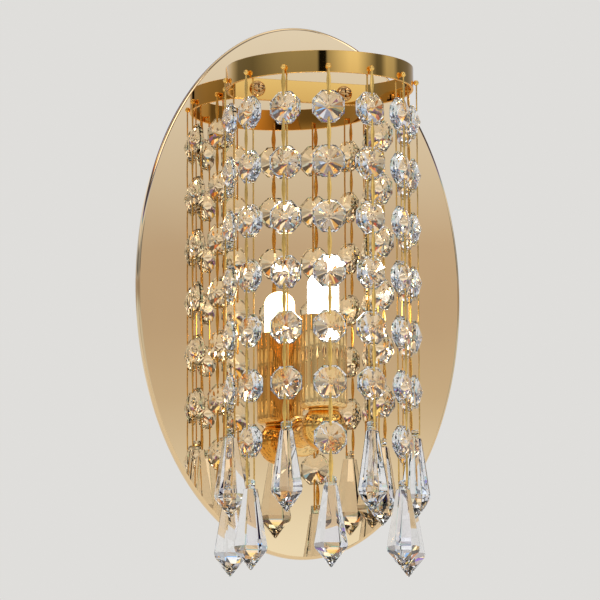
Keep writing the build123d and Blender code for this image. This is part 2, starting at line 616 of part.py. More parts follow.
def sleeve_screw():
    """The small screw at the back of the sleeve, threaded into the strap's rear tab."""
    z = SLEEVE_BOTTOM + SLEEVE_SCREW_HEIGHT
    inside = LAMP_Y + STRAP_REACH - 2 * STRAP_SHEET
    seat = LAMP_Y + SLEEVE_RADIUS
    screw = rod_y(SLEEVE_SCREW_RADIUS, inside, seat, 0, z)
    outside = seat + SLEEVE_SCREW_HEAD_THICKNESS
    screw += rod_y(SLEEVE_SCREW_HEAD_RADIUS, seat, outside, 0, z)
    slot = block(-SLEEVE_SCREW_HEAD_RADIUS, SLEEVE_SCREW_HEAD_RADIUS, seat + SLEEVE_SCREW_HEAD_THICKNESS / 2,
                 outside + 1, z - SLEEVE_SCREW_RADIUS / 4, z + SLEEVE_SCREW_RADIUS / 4)
    return screw - slot


# ================================================================ bulb holder and bulb
def bulb_holder():
    """The porcelain holder: a narrow foot between the strap's ears and a round head with a slot for the bulb."""
    foot = STRAP_REACH - STRAP_SHEET - SEAT
    half = HOLDER_FOOT_DEPTH / 2
    body = block(-foot, foot, LAMP_Y - half, LAMP_Y + half, HOLDER_BOTTOM, HOLDER_SHOULDER)
    body += rod_z(HOLDER_HEAD_RADIUS, HOLDER_SHOULDER, HOLDER_TOP)
    slot_x = BULB_PINCH_WIDTH / 2 + SEAT
    slot_y = BULB_PINCH_THICKNESS / 2 + SEAT
    floor = HOLDER_TOP - HOLDER_RECESS_DEPTH
    body -= block(-slot_x, slot_x, LAMP_Y - slot_y, LAMP_Y + slot_y, floor, HOLDER_TOP + 1)
    for side in (-1, 1):
        x = side * CONTACT_SPACING / 2
        body -= rod_z(CONTACT_RADIUS + FIT, floor - CONTACT_LENGTH - FIT, floor + 1, x)
    hole_z = HOLDER_BOTTOM + HOLDER_FOOT_HEIGHT / 2
    for low, high in ((-foot - 1, HOLDER_SCREW_LENGTH - foot), (foot - HOLDER_SCREW_LENGTH, foot + 1)):
        body -= rod_x(HOLDER_SCREW_RADIUS + FIT, low, high, LAMP_Y, hole_z)
    return body


def holder_contacts():
    """The two sprung contact tubes that grip the bulb's pins."""
    floor = HOLDER_TOP - HOLDER_RECESS_DEPTH
    x = CONTACT_SPACING / 2
    tube = rod_z(CONTACT_RADIUS, floor - CONTACT_LENGTH, floor, x)
    bottom = floor - CONTACT_LENGTH + STRAP_SHEET
    return mirrored_pair(tube - rod_z(BULB_PIN_RADIUS + FIT, bottom, floor + 1, x))


def holder_screws():
    """The two small screws through the strap's ears into the holder's foot."""
    z = HOLDER_BOTTOM + HOLDER_FOOT_HEIGHT / 2
    screw = rod_x(HOLDER_SCREW_RADIUS, STRAP_REACH - HOLDER_SCREW_LENGTH, STRAP_REACH, LAMP_Y, z)
    screw += rod_x(HOLDER_SCREW_HEAD_RADIUS, STRAP_REACH, STRAP_REACH + HOLDER_SCREW_HEAD_THICKNESS, LAMP_Y, z)
    return mirrored_pair(screw)


def capsule_profile(radius, bottom, top):
    """Half of a capsule's outline, round at the top and tapered at the bottom."""
    dome = 0.8 * radius
    profile = [(0.72 * radius, bottom), (radius, bottom + 0.5 * radius)]
    for angle in (0, 27, 52, 74):
        profile.append((radius * cos(radians(angle)), top - dome + dome * sin(radians(angle))))
    return profile


def bulb_glass():
    """The bulb's glass: a hollow capsule on a flat pinched base."""
    axis = Location((0, LAMP_Y, BULB_SHOULDER))
    outside = capsule_profile(BULB_RADIUS, -BULB_GLASS, BULB_HEIGHT - BULB_PINCH_HEIGHT)
    inside = capsule_profile(BULB_RADIUS - BULB_GLASS, 0, BULB_HEIGHT - BULB_PINCH_HEIGHT - BULB_GLASS)
    half = BULB_PINCH_WIDTH / 2
    thick = BULB_PINCH_THICKNESS / 2
    pinch = block(-half, half, LAMP_Y - thick, LAMP_Y + thick, BULB_BASE, BULB_SHOULDER)
    pinch &= rod_z(BULB_RADIUS, BULB_BASE, BULB_SHOULDER)
    glass = cut_round(outside, ROUND_SIDES, axis) + pinch
    return glass - cut_round(inside, ROUND_SIDES, axis)


def bulb_pins():
    """The two pins under the pinched base."""
    return mirrored_pair(rod_z(BULB_PIN_RADIUS, BULB_BASE - BULB_PIN_LENGTH, BULB_BASE, CONTACT_SPACING / 2))


def bulb_filament():
    """The filament: a bow of coiled wire on two supports that stand in the capsule."""
    half = FILAMENT_WIDTH / 2
    wire = FILAMENT_WIRE / 2
    bow = block(-half, half, LAMP_Y - wire, LAMP_Y + wire, BULB_SHOULDER, BULB_SHOULDER + FILAMENT_HEIGHT)
    inner = half - FILAMENT_WIRE
    return bow - block(-inner, inner, LAMP_Y - 1, LAMP_Y + 1, BULB_SHOULDER - 1,
                       BULB_SHOULDER + FILAMENT_HEIGHT - FILAMENT_WIRE)


# ================================================================ wiring
def terminal_block():
    """The two-pole terminal block on the bracket, open above for the mains and below for the lamp."""
    half = TERMINAL_WIDTH / 2
    front = -BRACKET_SHEET - TERMINAL_DEPTH
    top = TERMINAL_BOTTOM + TERMINAL_HEIGHT
    body = block(-half, half, front, -BRACKET_SHEET, TERMINAL_BOTTOM, top)
    for side in (-1, 1):
        x = side * TERMINAL_POLE_SPACING / 2
        body -= rod_z(TERMINAL_BORE_RADIUS, TERMINAL_BOTTOM - 1, top + 1, x, -LEAD_WALL_DISTANCE)
        for quarter in (0.25, 0.75):
            z = TERMINAL_BOTTOM + quarter * TERMINAL_HEIGHT
            body -= rod_y(TERMINAL_SCREW_RADIUS + FIT, front - 1, front + TERMINAL_SCREW_DEPTH, x, z)
    return body


def terminal_screws():
    """The four clamping screws in the terminal block."""
    front = -BRACKET_SHEET - TERMINAL_DEPTH
    screws = []
    for side in (-1, 1):
        x = side * TERMINAL_POLE_SPACING / 2
        for quarter in (0.25, 0.75):
            z = TERMINAL_BOTTOM + quarter * TERMINAL_HEIGHT
            screw = rod_y(TERMINAL_SCREW_RADIUS, front + 1, front + TERMINAL_SCREW_DEPTH, x, z)
            slot = Box(2 * TERMINAL_SCREW_RADIUS, CROSS_WIDTH, CROSS_WIDTH)
            screws.append(screw - Pos(x, front + 1 + CROSS_WIDTH / 2, z) * slot)
    return Compound(children=screws)


def earth_screw():
    """The earthing screw in the bracket."""
    seat = -BRACKET_SHEET - EARTH_WASHER_THICKNESS
    screw = rod_y(EARTH_SCREW_RADIUS, seat, 0, EARTH_SCREW_X, EARTH_SCREW_HEIGHT)
    front = seat - EARTH_SCREW_HEAD_THICKNESS
    screw += rod_y(EARTH_SCREW_HEAD_RADIUS, front, seat, EARTH_SCREW_X, EARTH_SCREW_HEIGHT)
    slot = Box(2 * EARTH_SCREW_HEAD_RADIUS, CROSS_DEPTH, CROSS_WIDTH)
    return screw - Pos(EARTH_SCREW_X, front + CROSS_DEPTH / 2, EARTH_SCREW_HEIGHT) * slot


def earth_washer():
    """The washer under the earthing screw's head."""
    front = -BRACKET_SHEET - EARTH_WASHER_THICKNESS
    washer = rod_y(EARTH_WASHER_RADIUS, front, -BRACKET_SHEET, EARTH_SCREW_X, EARTH_SCREW_HEIGHT)
    hole = rod_y(EARTH_SCREW_RADIUS + SCREW_CLEARANCE, front - 1, 0, EARTH_SCREW_X, EARTH_SCREW_HEIGHT)
    return washer - hole


def lamp_lead(side):
    """A lead from the holder down the nipple, back through the arm and up to the terminal block."""
    start = side * LEAD_START_SPACING / 2
    inner = side * LEAD_SPACING / 2
    end = side * TERMINAL_POLE_SPACING / 2
    wall = -LEAD_WALL_DISTANCE
    straight = (HOLDER_BOTTOM - NIPPLE_TOP) / 3
    bend = LEAD_WALL_DISTANCE / 3
    climb = TERMINAL_BOTTOM - ARM_HEIGHT
    points = [
        (start, LAMP_Y, HOLDER_BOTTOM),
        (start, LAMP_Y, HOLDER_BOTTOM - straight),
        (inner, LAMP_Y, NIPPLE_TOP),
        (inner, LAMP_Y, ARM_HEIGHT + LEAD_SPACING / 2),
        (inner, LAMP_Y + LEAD_SPACING / 2, ARM_HEIGHT),
        (inner, wall - bend, ARM_HEIGHT),
        (inner, wall, ARM_HEIGHT + bend),
        (inner, wall, ARM_HEIGHT + climb / 3),
        (end, wall, TERMINAL_BOTTOM - climb / 4),
        (end, wall, TERMINAL_BOTTOM + TERMINAL_HEIGHT / 4),
    ]
    path = Polyline(*points)
    section = Plane(origin=path @ 0, z_dir=path % 0) * RegularPolygon(LEAD_RADIUS, 6)
    return sweep(section, path=path, transition=Transition.RIGHT)


# ================================================================ the whole light
def build_nodes():
    """Every sub-part of the light, by name."""
    nodes = {
        "wall_bracket": wall_bracket(),
        "cable_grommet": cable_grommet(),
        "rear_tray": rear_tray(),
        "tray_screws": tray_screws(),
        "back_plate": back_plate(),
        "ring_band": ring_band(),
        "ring_screws": ring_screws(),
        "ring_washers": ring_washers(),
        "ring_nuts": ring_nuts(),
        "lamp_arm": lamp_arm(),
        "arm_rosette": arm_rosette(),
        "arm_washer": arm_washer(),
        "arm_nut": arm_nut(),
        "lamp_hub": lamp_hub(),
        "neck_collar": neck_collar(),
        "lamp_nipple": lamp_nipple(),
        "nipple_nut": nipple_nut(),
        "lamp_sleeve": lamp_sleeve(),
        "sleeve_screw": sleeve_screw(),
        "holder_strap": holder_strap(),
        "holder_screws": holder_screws(),
        "bulb_holder": bulb_holder(),
        "holder_contacts": holder_contacts(),
        "bulb_glass": bulb_glass(),
        "bulb_pins": bulb_pins(),
        "bulb_filament": bulb_filament(),
        "terminal_block": terminal_block(),
        "terminal_screws": terminal_screws(),
        "earth_screw": Compound(children=[earth_screw(), earth_washer()]),
        "lamp_leads": Compound(children=[lamp_lead(-1), lamp_lead(1)]),
    }
    crystal = octagon_crystal()
    pin = ball_pin()
    link = wire_link()
    drop = crystal_drop()
    for index in range(STRAND_COUNT):
        name = f"strand_{index + 1:02d}"
        nodes[name + "_octagons"] = strand_octagons(index, crystal)
        nodes[name + "_links"] = strand_links(index, pin, link)
        nodes[name + "_drop"] = strand_drop(index, drop)
    return nodes


os.makedirs("parts", exist_ok=True)
for node_name, shape in build_nodes().items():
    export_step(shape, f"parts/{node_name}.step")
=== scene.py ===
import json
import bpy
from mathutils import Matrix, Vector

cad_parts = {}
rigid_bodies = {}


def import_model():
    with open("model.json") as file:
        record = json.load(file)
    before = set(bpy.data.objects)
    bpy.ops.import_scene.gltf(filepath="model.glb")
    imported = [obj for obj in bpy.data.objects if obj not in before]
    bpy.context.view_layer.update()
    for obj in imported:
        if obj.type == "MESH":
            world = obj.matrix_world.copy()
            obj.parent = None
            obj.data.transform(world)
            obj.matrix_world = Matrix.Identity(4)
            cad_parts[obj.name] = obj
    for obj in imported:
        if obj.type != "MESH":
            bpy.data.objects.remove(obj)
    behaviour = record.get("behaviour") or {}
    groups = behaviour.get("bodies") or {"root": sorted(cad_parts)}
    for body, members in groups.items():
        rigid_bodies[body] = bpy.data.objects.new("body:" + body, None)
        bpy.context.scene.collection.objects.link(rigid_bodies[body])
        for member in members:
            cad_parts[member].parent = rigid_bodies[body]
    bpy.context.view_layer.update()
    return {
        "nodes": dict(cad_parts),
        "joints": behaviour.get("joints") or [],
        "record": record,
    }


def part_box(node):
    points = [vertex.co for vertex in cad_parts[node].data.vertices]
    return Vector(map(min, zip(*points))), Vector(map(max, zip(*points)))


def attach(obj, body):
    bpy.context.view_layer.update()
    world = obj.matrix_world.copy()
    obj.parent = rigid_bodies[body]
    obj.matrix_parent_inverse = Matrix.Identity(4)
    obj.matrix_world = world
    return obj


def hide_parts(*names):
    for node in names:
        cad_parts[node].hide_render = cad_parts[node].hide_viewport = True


bl_info = {
    "name": "Crystal wall sconce",
    "version": (1, 0, 0),
    "blender": (4, 5, 0),
    "location": "3D View > Sidebar > Sconce",
    "description": "Gives the sconce's frame its finished pieces, finishes and stage",
    "category": "Object",
}

from math import atan2, cos, pi, radians, sin, sqrt

import bmesh
import bpy
from mathutils import Matrix, Vector

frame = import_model()


def half_width(low, high):
    """Half the width of a box, which is the radius of a round piece."""
    return (high.x - low.x) / 2


# ---------------------------------------------------------------- places read from the frame
PLATE_LOW, PLATE_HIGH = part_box("back_plate")
PLATE_FRONT = PLATE_LOW.y
PLATE_BACK = PLATE_HIGH.y
TRAY_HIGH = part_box("rear_tray")[1]
RING_LOW, RING_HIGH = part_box("ring_band")
RING_RADIUS = half_width(RING_LOW, RING_HIGH)
SCREW_LOW, SCREW_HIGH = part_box("ring_screws")
SCREW_SPREAD = SCREW_HIGH.x - (SCREW_HIGH.z - SCREW_LOW.z) / 2
SCREW_HEIGHT = (SCREW_HIGH.z + SCREW_LOW.z) / 2
SLEEVE_LOW, SLEEVE_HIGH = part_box("lamp_sleeve")
SLEEVE_RADIUS = half_width(SLEEVE_LOW, SLEEVE_HIGH)
LAMP_Y = (SLEEVE_LOW.y + SLEEVE_HIGH.y) / 2
HUB_LOW, HUB_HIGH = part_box("lamp_hub")
NECK_LOW, NECK_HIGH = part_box("neck_collar")
ROSETTE_LOW, ROSETTE_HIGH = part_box("arm_rosette")
ARM_LOW, ARM_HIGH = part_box("lamp_arm")
ARM_RADIUS = (ARM_HIGH.z - ARM_LOW.z) / 2
ARM_HEIGHT = (ARM_LOW.z + ARM_HIGH.z) / 2
BULB_LOW, BULB_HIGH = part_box("bulb_glass")
SWINGS = {joint["child"]: joint for joint in frame["joints"] if joint["name"].endswith("_swing")}
SWAYS = {joint["parent"]: joint for joint in frame["joints"] if joint["name"].endswith("_sway")}
STRANDS = sorted(SWINGS)

# ---------------------------------------------------------------- fixed sizes, in metres
# Two places closer than NEAR count as one; a face looks along an axis when its normal's part is over FACING.
NEAR = 1e-6
FACING = 0.9
OVAL_SIDES = 288
ROUND_SIDES = 72

TRAY_SHEET = 0.001
TRAY_EDGE = 0.0006
TRAY_SCREW_DEPTH = 0.009
SCREW_HOLE = 0.0022
ARM_HOLE = 0.0052
DRILL_LENGTH = 0.01

RING_WALL = 0.0012
RING_CORNER = 0.0026
RING_EDGE = 0.00018

SCREW_HEAD = 0.0035
CROSS_WIDTH = 0.0008
CROSS_LENGTH = 0.0038
CROSS_DEPTH = 0.001

PIN_DROP = 0.012
PIN_BALL = 0.00118
PIN_LEAF_TOP = -0.0006
PIN_LEAF_SHARE = 1.05
LINK_LENGTH = 0.013
LINK_BOW = 0.0001
LEG_OFFSET = 0.0019
LEG_THICKNESS = 0.0006
LEG_STEPS = 8
HEAD_OFFSET = 0.00175
WIRE_SIDES = 10

# The octagon's row of rim facets: how far in and up it goes, and how far its flats' corners are spread.
RIM_INSET = 0.088
RIM_RISE = 0.30
RIM_SPREAD = 1.07

# The drop's tip, and its cut point as (height over the tip, share of the drop's width).
DROP_TIP = 0.00035
DROP_POINT = [(0.0040, 0.50), (0.0078, 0.93), (0.0098, 1.00)]
# Its long ridges are cut flat: those sharper than an angle and higher than a length.
RIDGE_ANGLE = radians(25)
RIDGE_HEIGHT = 0.01
DROP_EDGE = 0.0003
NECK_HEIGHT = 0.004
NECK_FOOT = 0.0004
NECK_CROWN = 0.0005
NECK_SHAPE = (0.82, 0.52, 1)
CROWN_SHAPE = (0.8, 0.8, 1)

# How an octagon hangs turned, from row to row and from strand to strand.
HANGING_TURN = radians(4)
TURN_BY_ROW = 2.1
TURN_BY_STRAND = 1.7

# The arm's bore as a share of its radius, and the thin floor left at its back end.
ARM_BORE = 0.7
ARM_END = 0.0005
# The ball hub's bands, its smallest radius, and how far down it goes as a share of its radius.
HUB_BANDS = 26
HUB_POLE = 0.0002
HUB_DEPTH = 0.999

SLEEVE_ROUNDING = 0.0022
SLEEVE_WALL = 0.0008
SLEEVE_EASE = 0.0002
SLEEVE_FILLET = 0.0012

# The bulb's pinched base, its shoulder as (share of the bulb's radius, height over the base in radii), and
# its foot, dome and tip as shares of the radius.
BULB_BASE = 0.009
BULB_SUNK = 0.0012
BULB_SHOULDER = [(0.80, 0.00), (0.95, 0.28), (1.00, 0.60)]
BULB_FOOT = 0.62
BULB_DOME = 0.85
BULB_TIP = 0.03
BULB_PINCH = (0.0118, 0.0036, BULB_BASE)
BULB_PINCH_EDGE = 0.0012

# ---------------------------------------------------------------- the photograph's camera
CAMERA_PLACE = Vector((-0.53671, -1.63616, -0.25492))
CAMERA_YAW = 0.32057
CAMERA_PITCH = 0.14639
CAMERA_ROLL = -0.00469
CAMERA_LENS = 237.25
CAMERA_SENSOR = 36.0

# ---------------------------------------------------------------- floor and lights
FLOOR_HEIGHT = -0.55
FLOOR_REACH = 6.0
LIGHTS_AIM = Vector((0, -0.05, 0))
# Square soft lights, as (name, place, side in metres, power in watts).
LIGHTS = [
    ("Key light", (-1.3, -1.5, 1.5), 1.0, 5.0),
    ("Fill light", (1.5, -1.2, 1.8), 0.8, 3.5),
    ("Sparkle light", (1.2, -2.2, 1.4), 0.10, 1.2),
]


class SconceSizes(bpy.types.PropertyGroup):
    """Sizes of the finished pieces."""

    plate_bevel: bpy.props.FloatProperty(
        name="Plate bevel", description="Width of the bright bevel round the plate",
        default=0.0012, min=0.0002, max=0.003, unit="LENGTH", subtype="DISTANCE")
    octagon_width: bpy.props.FloatProperty(
        name="Octagon width", description="Width of a cut octagon across its flats",
        default=0.0138, min=0.008, max=0.02, unit="LENGTH", subtype="DISTANCE")
    octagon_thickness: bpy.props.FloatProperty(
        name="Octagon thickness", description="Thickness of a cut octagon from point to point",
        default=0.0072, min=0.003, max=0.01, unit="LENGTH", subtype="DISTANCE")
    octagon_girdle: bpy.props.FloatProperty(
        name="Octagon girdle", description="Thickness of a cut octagon at its rim",
        default=0.0012, min=0.0004, max=0.003, unit="LENGTH", subtype="DISTANCE")
    octagon_pitch: bpy.props.FloatProperty(
        name="Octagon pitch", description="Distance from one octagon of a strand to the next",
        default=0.0234, min=0.015, max=0.04, unit="LENGTH", subtype="DISTANCE")
    hole_offset: bpy.props.FloatProperty(
        name="Hole offset", description="Distance from an octagon's centre to each of its holes",
        default=0.0052, min=0.003, max=0.006, unit="LENGTH", subtype="DISTANCE")
    hole_radius: bpy.props.FloatProperty(
        name="Hole radius", description="Radius of the holes in the crystals",
        default=0.00062, min=0.0003, max=0.001, unit="LENGTH", subtype="DISTANCE")
    leaf_width: bpy.props.FloatProperty(
        name="Leaf width", description="Width of a link's flat front leg at its middle",
        default=0.0020, min=0.0006, max=0.003, unit="LENGTH", subtype="DISTANCE")
    wire_width: bpy.props.FloatProperty(
        name="Wire width", description="Width of a link's wire where it enters a crystal",
        default=0.0008, min=0.0003, max=0.0015, unit="LENGTH", subtype="DISTANCE")
    drop_width: bpy.props.FloatProperty(
        name="Drop width", description="Width of a drop across its widest corners",
        default=0.0144, min=0.008, max=0.02, unit="LENGTH", subtype="DISTANCE")
    drop_shoulder: bpy.props.FloatProperty(
        name="Drop shoulder", description="Width of a drop just under its neck",
        default=0.0062, min=0.004, max=0.01, unit="LENGTH", subtype="DISTANCE")


class SconceFinishes(bpy.types.PropertyGroup):
    """Colours of the finished pieces."""

    mirror: bpy.props.FloatVectorProperty(
        name="Mirror gold", description="Colour of the mirror-polished plate",
        default=(0.89, 0.66, 0.38), min=0.0, max=1.0, size=3, subtype="COLOR")
    gold: bpy.props.FloatVectorProperty(
        name="Gold", description="Colour of the polished ring, ball hub and neck",
        default=(0.93, 0.54, 0.14), min=0.0, max=1.0, size=3, subtype="COLOR")
    # Lamp gold is the polished gold painted lighter, a lit copy that stands in for light on the sleeve, arm
    # and collar.
    lamp: bpy.props.FloatVectorProperty(
        name="Lamp gold", description="Colour of the polished sleeve, arm and arm collar",
        default=(1.0, 0.68, 0.29), min=0.0, max=1.0, size=3, subtype="COLOR")
    wire: bpy.props.FloatVectorProperty(
        name="Wire", description="Colour of the links and pins",
        default=(0.98, 0.61, 0.17), min=0.0, max=1.0, size=3, subtype="COLOR")
    crystal: bpy.props.FloatVectorProperty(
        name="Crystal", description="Colour of the cut crystal",
        default=(0.99, 0.99, 1.0), min=0.0, max=1.0, size=3, subtype="COLOR")
    glow: bpy.props.FloatVectorProperty(
        name="Glow", description="Colour of the lit bulb",
        default=(1.0, 0.93, 0.80), min=0.0, max=1.0, size=3, subtype="COLOR")
    backdrop: bpy.props.FloatVectorProperty(
        name="Backdrop", description="Colour of the floor and the background",
        default=(0.74, 0.73, 0.71), min=0.0, max=1.0, size=3, subtype="COLOR")


# ---------------------------------------------------------------- finishes
# The colour attribute of painted split light that a crystal's facets hold back, its tones, the area in
# square metres under which a facet counts as small, and the share of the small facets given these painted
# coloured glints.
PAINTED_SPLIT_LIGHT = "split_light"
PAINTED_SPLIT_TONES = ((0.02, 0.42, 0.62), (0.50, 0.04, 0.34), (0.60, 0.30, 0.02))
SMALL_FACET = 7e-6
OCTAGON_PAINTED_SPLIT = 0.24
DROP_PAINTED_SPLIT = 0.30
GOLDEN_SHARE = 0.618034


class NodeSheet:
    """Short ways to add and join the nodes of a tree."""

    def __init__(self, tree):
        self.tree = tree

    def feed(self, socket, source):
        """Joins a socket to another, or sets its value."""
        if isinstance(source, bpy.types.NodeSocket):
            self.tree.links.new(source, socket)
        else:
            socket.default_value = source

    def fill(self, node, inputs):
        """Feeds a node's inputs by name; a name's underscores stand for spaces."""
        for name, source in inputs.items():
            self.feed(node.inputs[name.replace("_", " ")], source)

    def add(self, kind, **inputs):
        """A node, with what feeds each of its inputs: a socket or a plain value."""
        node = self.tree.nodes.new(kind)
        self.fill(node, inputs)
        return node

    def sum(self, operation, *sources):
        """The result of a sum on sockets and plain values."""
        node = self.tree.nodes.new("ShaderNodeMath")
        node.operation = operation
        for socket, source in zip(node.inputs, sources):
            self.feed(socket, source)
        return node.outputs["Value"]

    def ramp(self, factor, stops):
        """A colour ramp through (position, colour) stops."""
        node = self.add("ShaderNodeValToRGB", Fac=factor)
        elements = node.color_ramp.elements
        while len(elements) < len(stops):
            elements.new(0.5)
        for element, (position, colour) in zip(elements, stops):
            element.position = position
            element.color = (*colour, 1.0)
        return node.outputs["Color"]

    def blend(self, operation, *colours):
        """Two colours multiplied, or the second taken from the first."""
        node = self.tree.nodes.new("ShaderNodeMix")
        node.data_type = "RGBA"
        node.blend_type = operation
        node.inputs["Factor"].default_value = 1.0
        for socket, colour in zip([end for end in node.inputs if end.type == "RGBA"], colours):
            self.feed(socket, colour)
        return [end for end in node.outputs if end.type == "RGBA"][0]


class Finish(NodeSheet):
    """A material made of nodes, with its pattern on Object coordinates."""

    def __init__(self, name):
        self.material = bpy.data.materials.new(name)
        self.material.use_nodes = True
        super().__init__(self.material.node_tree)
        self.shader = self.tree.nodes["Principled BSDF"]
        self.place = self.add("ShaderNodeTexCoord").outputs["Object"]

    def set(self, **inputs):
        """Feeds the shader's own sockets."""
        self.fill(self.shader, inputs)

    def noise(self, scale, detail=3.0, stretch=(1, 1, 1)):
        """A noise pattern; stretch squeezes it along an axis."""
        mapping = self.add("ShaderNodeMapping", Vector=self.place, Scale=stretch)
        noise = self.add("ShaderNodeTexNoise", Vector=mapping.outputs["Vector"], Scale=scale,
                         Detail=detail)
        return noise.outputs["Fac"]

    def cells(self, scale):
        """A pattern of cells, each with a grey of its own."""
        cells = self.add("ShaderNodeTexVoronoi", Vector=self.place, Scale=scale)
        grey = self.add("ShaderNodeSeparateColor", Color=cells.outputs["Color"])
        return grey.outputs["Red"]

    def colours(self, factor, low, high):
        """Base colour from a factor, between two (position, colour) stops."""
        self.set(Base_Color=self.ramp(factor, [low, high]))

    def roughness(self, factor, low, high):
        """Roughness that follows a pattern between two values."""
        spread = self.add("ShaderNodeMapRange", Value=factor, To_Min=low, To_Max=high)
        self.set(Roughness=spread.outputs["Result"])

    def bump(self, factor, height, strength):
        """Relief that follows a pattern, its height in metres."""
        bump = self.add("ShaderNodeBump", Height=factor, Distance=height, Strength=strength)
        self.set(Normal=bump.outputs["Normal"])


def tint(colour, share):
    """A colour made lighter or darker by a share."""
    return tuple(min(1.0, channel * share) for channel in colour)


def polished_gold(name, colour, rough=0.03, metallic=1.0):
    """Mirror-polished gold plating with faint wiping marks."""
    finish = Finish(name)
    finish.set(Metallic=metallic)
    finish.colours(finish.noise(14.0), (0.3, tint(colour, 0.97)), (0.7, tint(colour, 1.03)))
    wiping = finish.noise(160.0, detail=6.0, stretch=(1, 1, 0.15))
    finish.roughness(wiping, low=rough * 0.6, high=rough * 1.6)
    finish.bump(finish.noise(55.0, detail=2.0), height=0.00002, strength=0.15)
    return finish.material


def bright_wire(name, colour):
    """Bright gold wire, drawn lengthwise."""
    finish = Finish(name)
    finish.set(Metallic=0.95)
    tarnish = finish.noise(420.0, detail=2.0)
    finish.colours(tarnish, (0.3, tint(colour, 0.88)), (0.7, tint(colour, 1.06)))
    finish.roughness(finish.noise(900.0, detail=2.0, stretch=(1, 1, 0.1)), low=0.14, high=0.28)
    drawing = finish.noise(700.0, detail=2.0, stretch=(1, 1, 0.2))
    finish.bump(drawing, height=0.00006, strength=0.5)
    return finish.material


def cut_crystal(name, colour):
    """Clear cut crystal, less the painted split light that its facets' corners hold back: coloured glints
    painted in.
    """
    finish = Finish(name)
    painted_split = finish.add("ShaderNodeAttribute")
    painted_split.attribute_name = PAINTED_SPLIT_LIGHT
    clear = finish.ramp(finish.noise(60.0, detail=1.0), [(0.0, tint(colour, 0.985)), (1.0, colour)])
    # Taking the painted split light away from the clear colour tints some facets as painted coloured glints.
    less = finish.blend("SUBTRACT", clear, painted_split.outputs["Color"])
    finish.set(Transmission_Weight=1.0, Roughness=0.0, IOR=1.58, Base_Color=less)
    return finish.material


def lit_glass(name, colour, strength):
    """The glass of a lit bulb."""
    finish = Finish(name)
    finish.set(Roughness=0.12, Emission_Color=(*colour, 1.0), Emission_Strength=strength)
    finish.colours(finish.noise(80.0), (0.3, tint(colour, 0.97)), (0.7, (1.0, 1.0, 1.0)))
    return finish.material


def sheet_metal(name, colour):
    """Zinc-plated sheet with faint spangle and rolling marks."""
    finish = Finish(name)
    finish.set(Metallic=1.0)
    finish.colours(finish.cells(380.0), (0.0, tint(colour, 0.95)), (1.0, tint(colour, 1.03)))
    finish.roughness(finish.noise(60.0, detail=4.0, stretch=(0.1, 1, 1)), low=0.28, high=0.45)
    finish.bump(finish.noise(300.0, stretch=(0.06, 1, 1)), height=0.00004, strength=0.25)
    return finish.material


def small_metal(name, colour):
    """Plated hardware with a turned surface."""
    finish = Finish(name)
    finish.set(Metallic=1.0)
    finish.colours(finish.noise(240.0), (0.3, tint(colour, 0.85)), (0.7, tint(colour, 1.08)))
    finish.roughness(finish.noise(700.0), low=0.175, high=0.35)
    finish.bump(finish.noise(1500.0, detail=2.0), height=0.00003, strength=0.3)
    return finish.material


def moulded(name, colour, rough, grain=0.00004):
    """Moulded plastic, rubber or porcelain with a fine grain."""
    finish = Finish(name)
    finish.colours(finish.noise(150.0), (0.3, tint(colour, 0.94)), (0.7, tint(colour, 1.04)))
    finish.roughness(finish.noise(420.0), low=rough * 0.85, high=rough * 1.2)
    finish.bump(finish.noise(1100.0), height=grain, strength=0.4)
    return finish.material


def woven_sleeving(name, colour):
    """Woven heat-proof sleeving on the leads."""
    finish = Finish(name)
    finish.colours(finish.noise(900.0, detail=2.0), (0.35, tint(colour, 0.75)), (0.65, colour))
    finish.roughness(finish.noise(1200.0), low=0.6, high=0.8)
    finish.bump(finish.cells(2600.0), height=0.00012, strength=0.6)
    return finish.material


def finish_of(name, make, *values):
    """A finish by name, made the first time it is asked for."""
    found = bpy.data.materials.get(name)
    return found if found else make(name, *values)


def chosen(context, name):
    """A colour that the panel sets."""
    return tuple(getattr(context.scene.sconce_finishes, name))


def plate_finish(context):
    """The paler mirror gold of the plate."""
    return finish_of("mirror gold plating", polished_gold, chosen(context, "mirror"), 0.008)


def gold_finish(context):
    """The deeper polished gold of the ring, the ball hub and its neck."""
    return finish_of("polished gold plating", polished_gold, chosen(context, "gold"))


def painted_bright_lamp_finish(context):
    """The polished gold of the sleeve, the arm and its collar, painted brighter with a matt share: a lit
    copy of the gold.
    """
    # The lighter colour and the matt share of 0.08 paint extra brightness onto this gold.
    return finish_of("lamp gold plating", polished_gold, chosen(context, "lamp"), 0.03, 0.92)


def screw_finish():
    """The darker plated gold of the screws."""
    return finish_of("gold screw plating", polished_gold, (0.64, 0.37, 0.14), 0.06)


def sheet_finish():
    """The zinc of the tray and the bracket."""
    return finish_of("zinc-plated sheet", sheet_metal, (0.66, 0.67, 0.69))


def wire_finish(context):
    """The bright gold of the pins and links."""
    return finish_of("bright gold wire", bright_wire, chosen(context, "wire"))


def crystal_finish(context):
    """The clear crystal of the octagons and drops."""
    return finish_of("cut crystal", cut_crystal, chosen(context, "crystal"))


def glass_finish(context):
    """The glass of the lit bulb."""
    return finish_of("lit glass", lit_glass, chosen(context, "glow"), 12.0)


# ---------------------------------------------------------------- modelling by hand, in code
def deselect():
    """Leaves nothing selected."""
    bpy.ops.object.select_all(action="DESELECT")


def choose(piece):
    """Selects one piece alone and makes it the active one."""
    deselect()
    piece.select_set(True)
    bpy.context.view_layer.objects.active = piece


def settle():
    """Applies the active piece's place, turn and size to its mesh."""
    bpy.ops.object.transform_apply(location=True, rotation=True, scale=True)
    return bpy.context.object


def smooth(angle):
    """Shades the active piece smooth where its faces meet at less than an angle in degrees."""
    bpy.ops.object.shade_smooth_by_angle(angle=radians(angle))


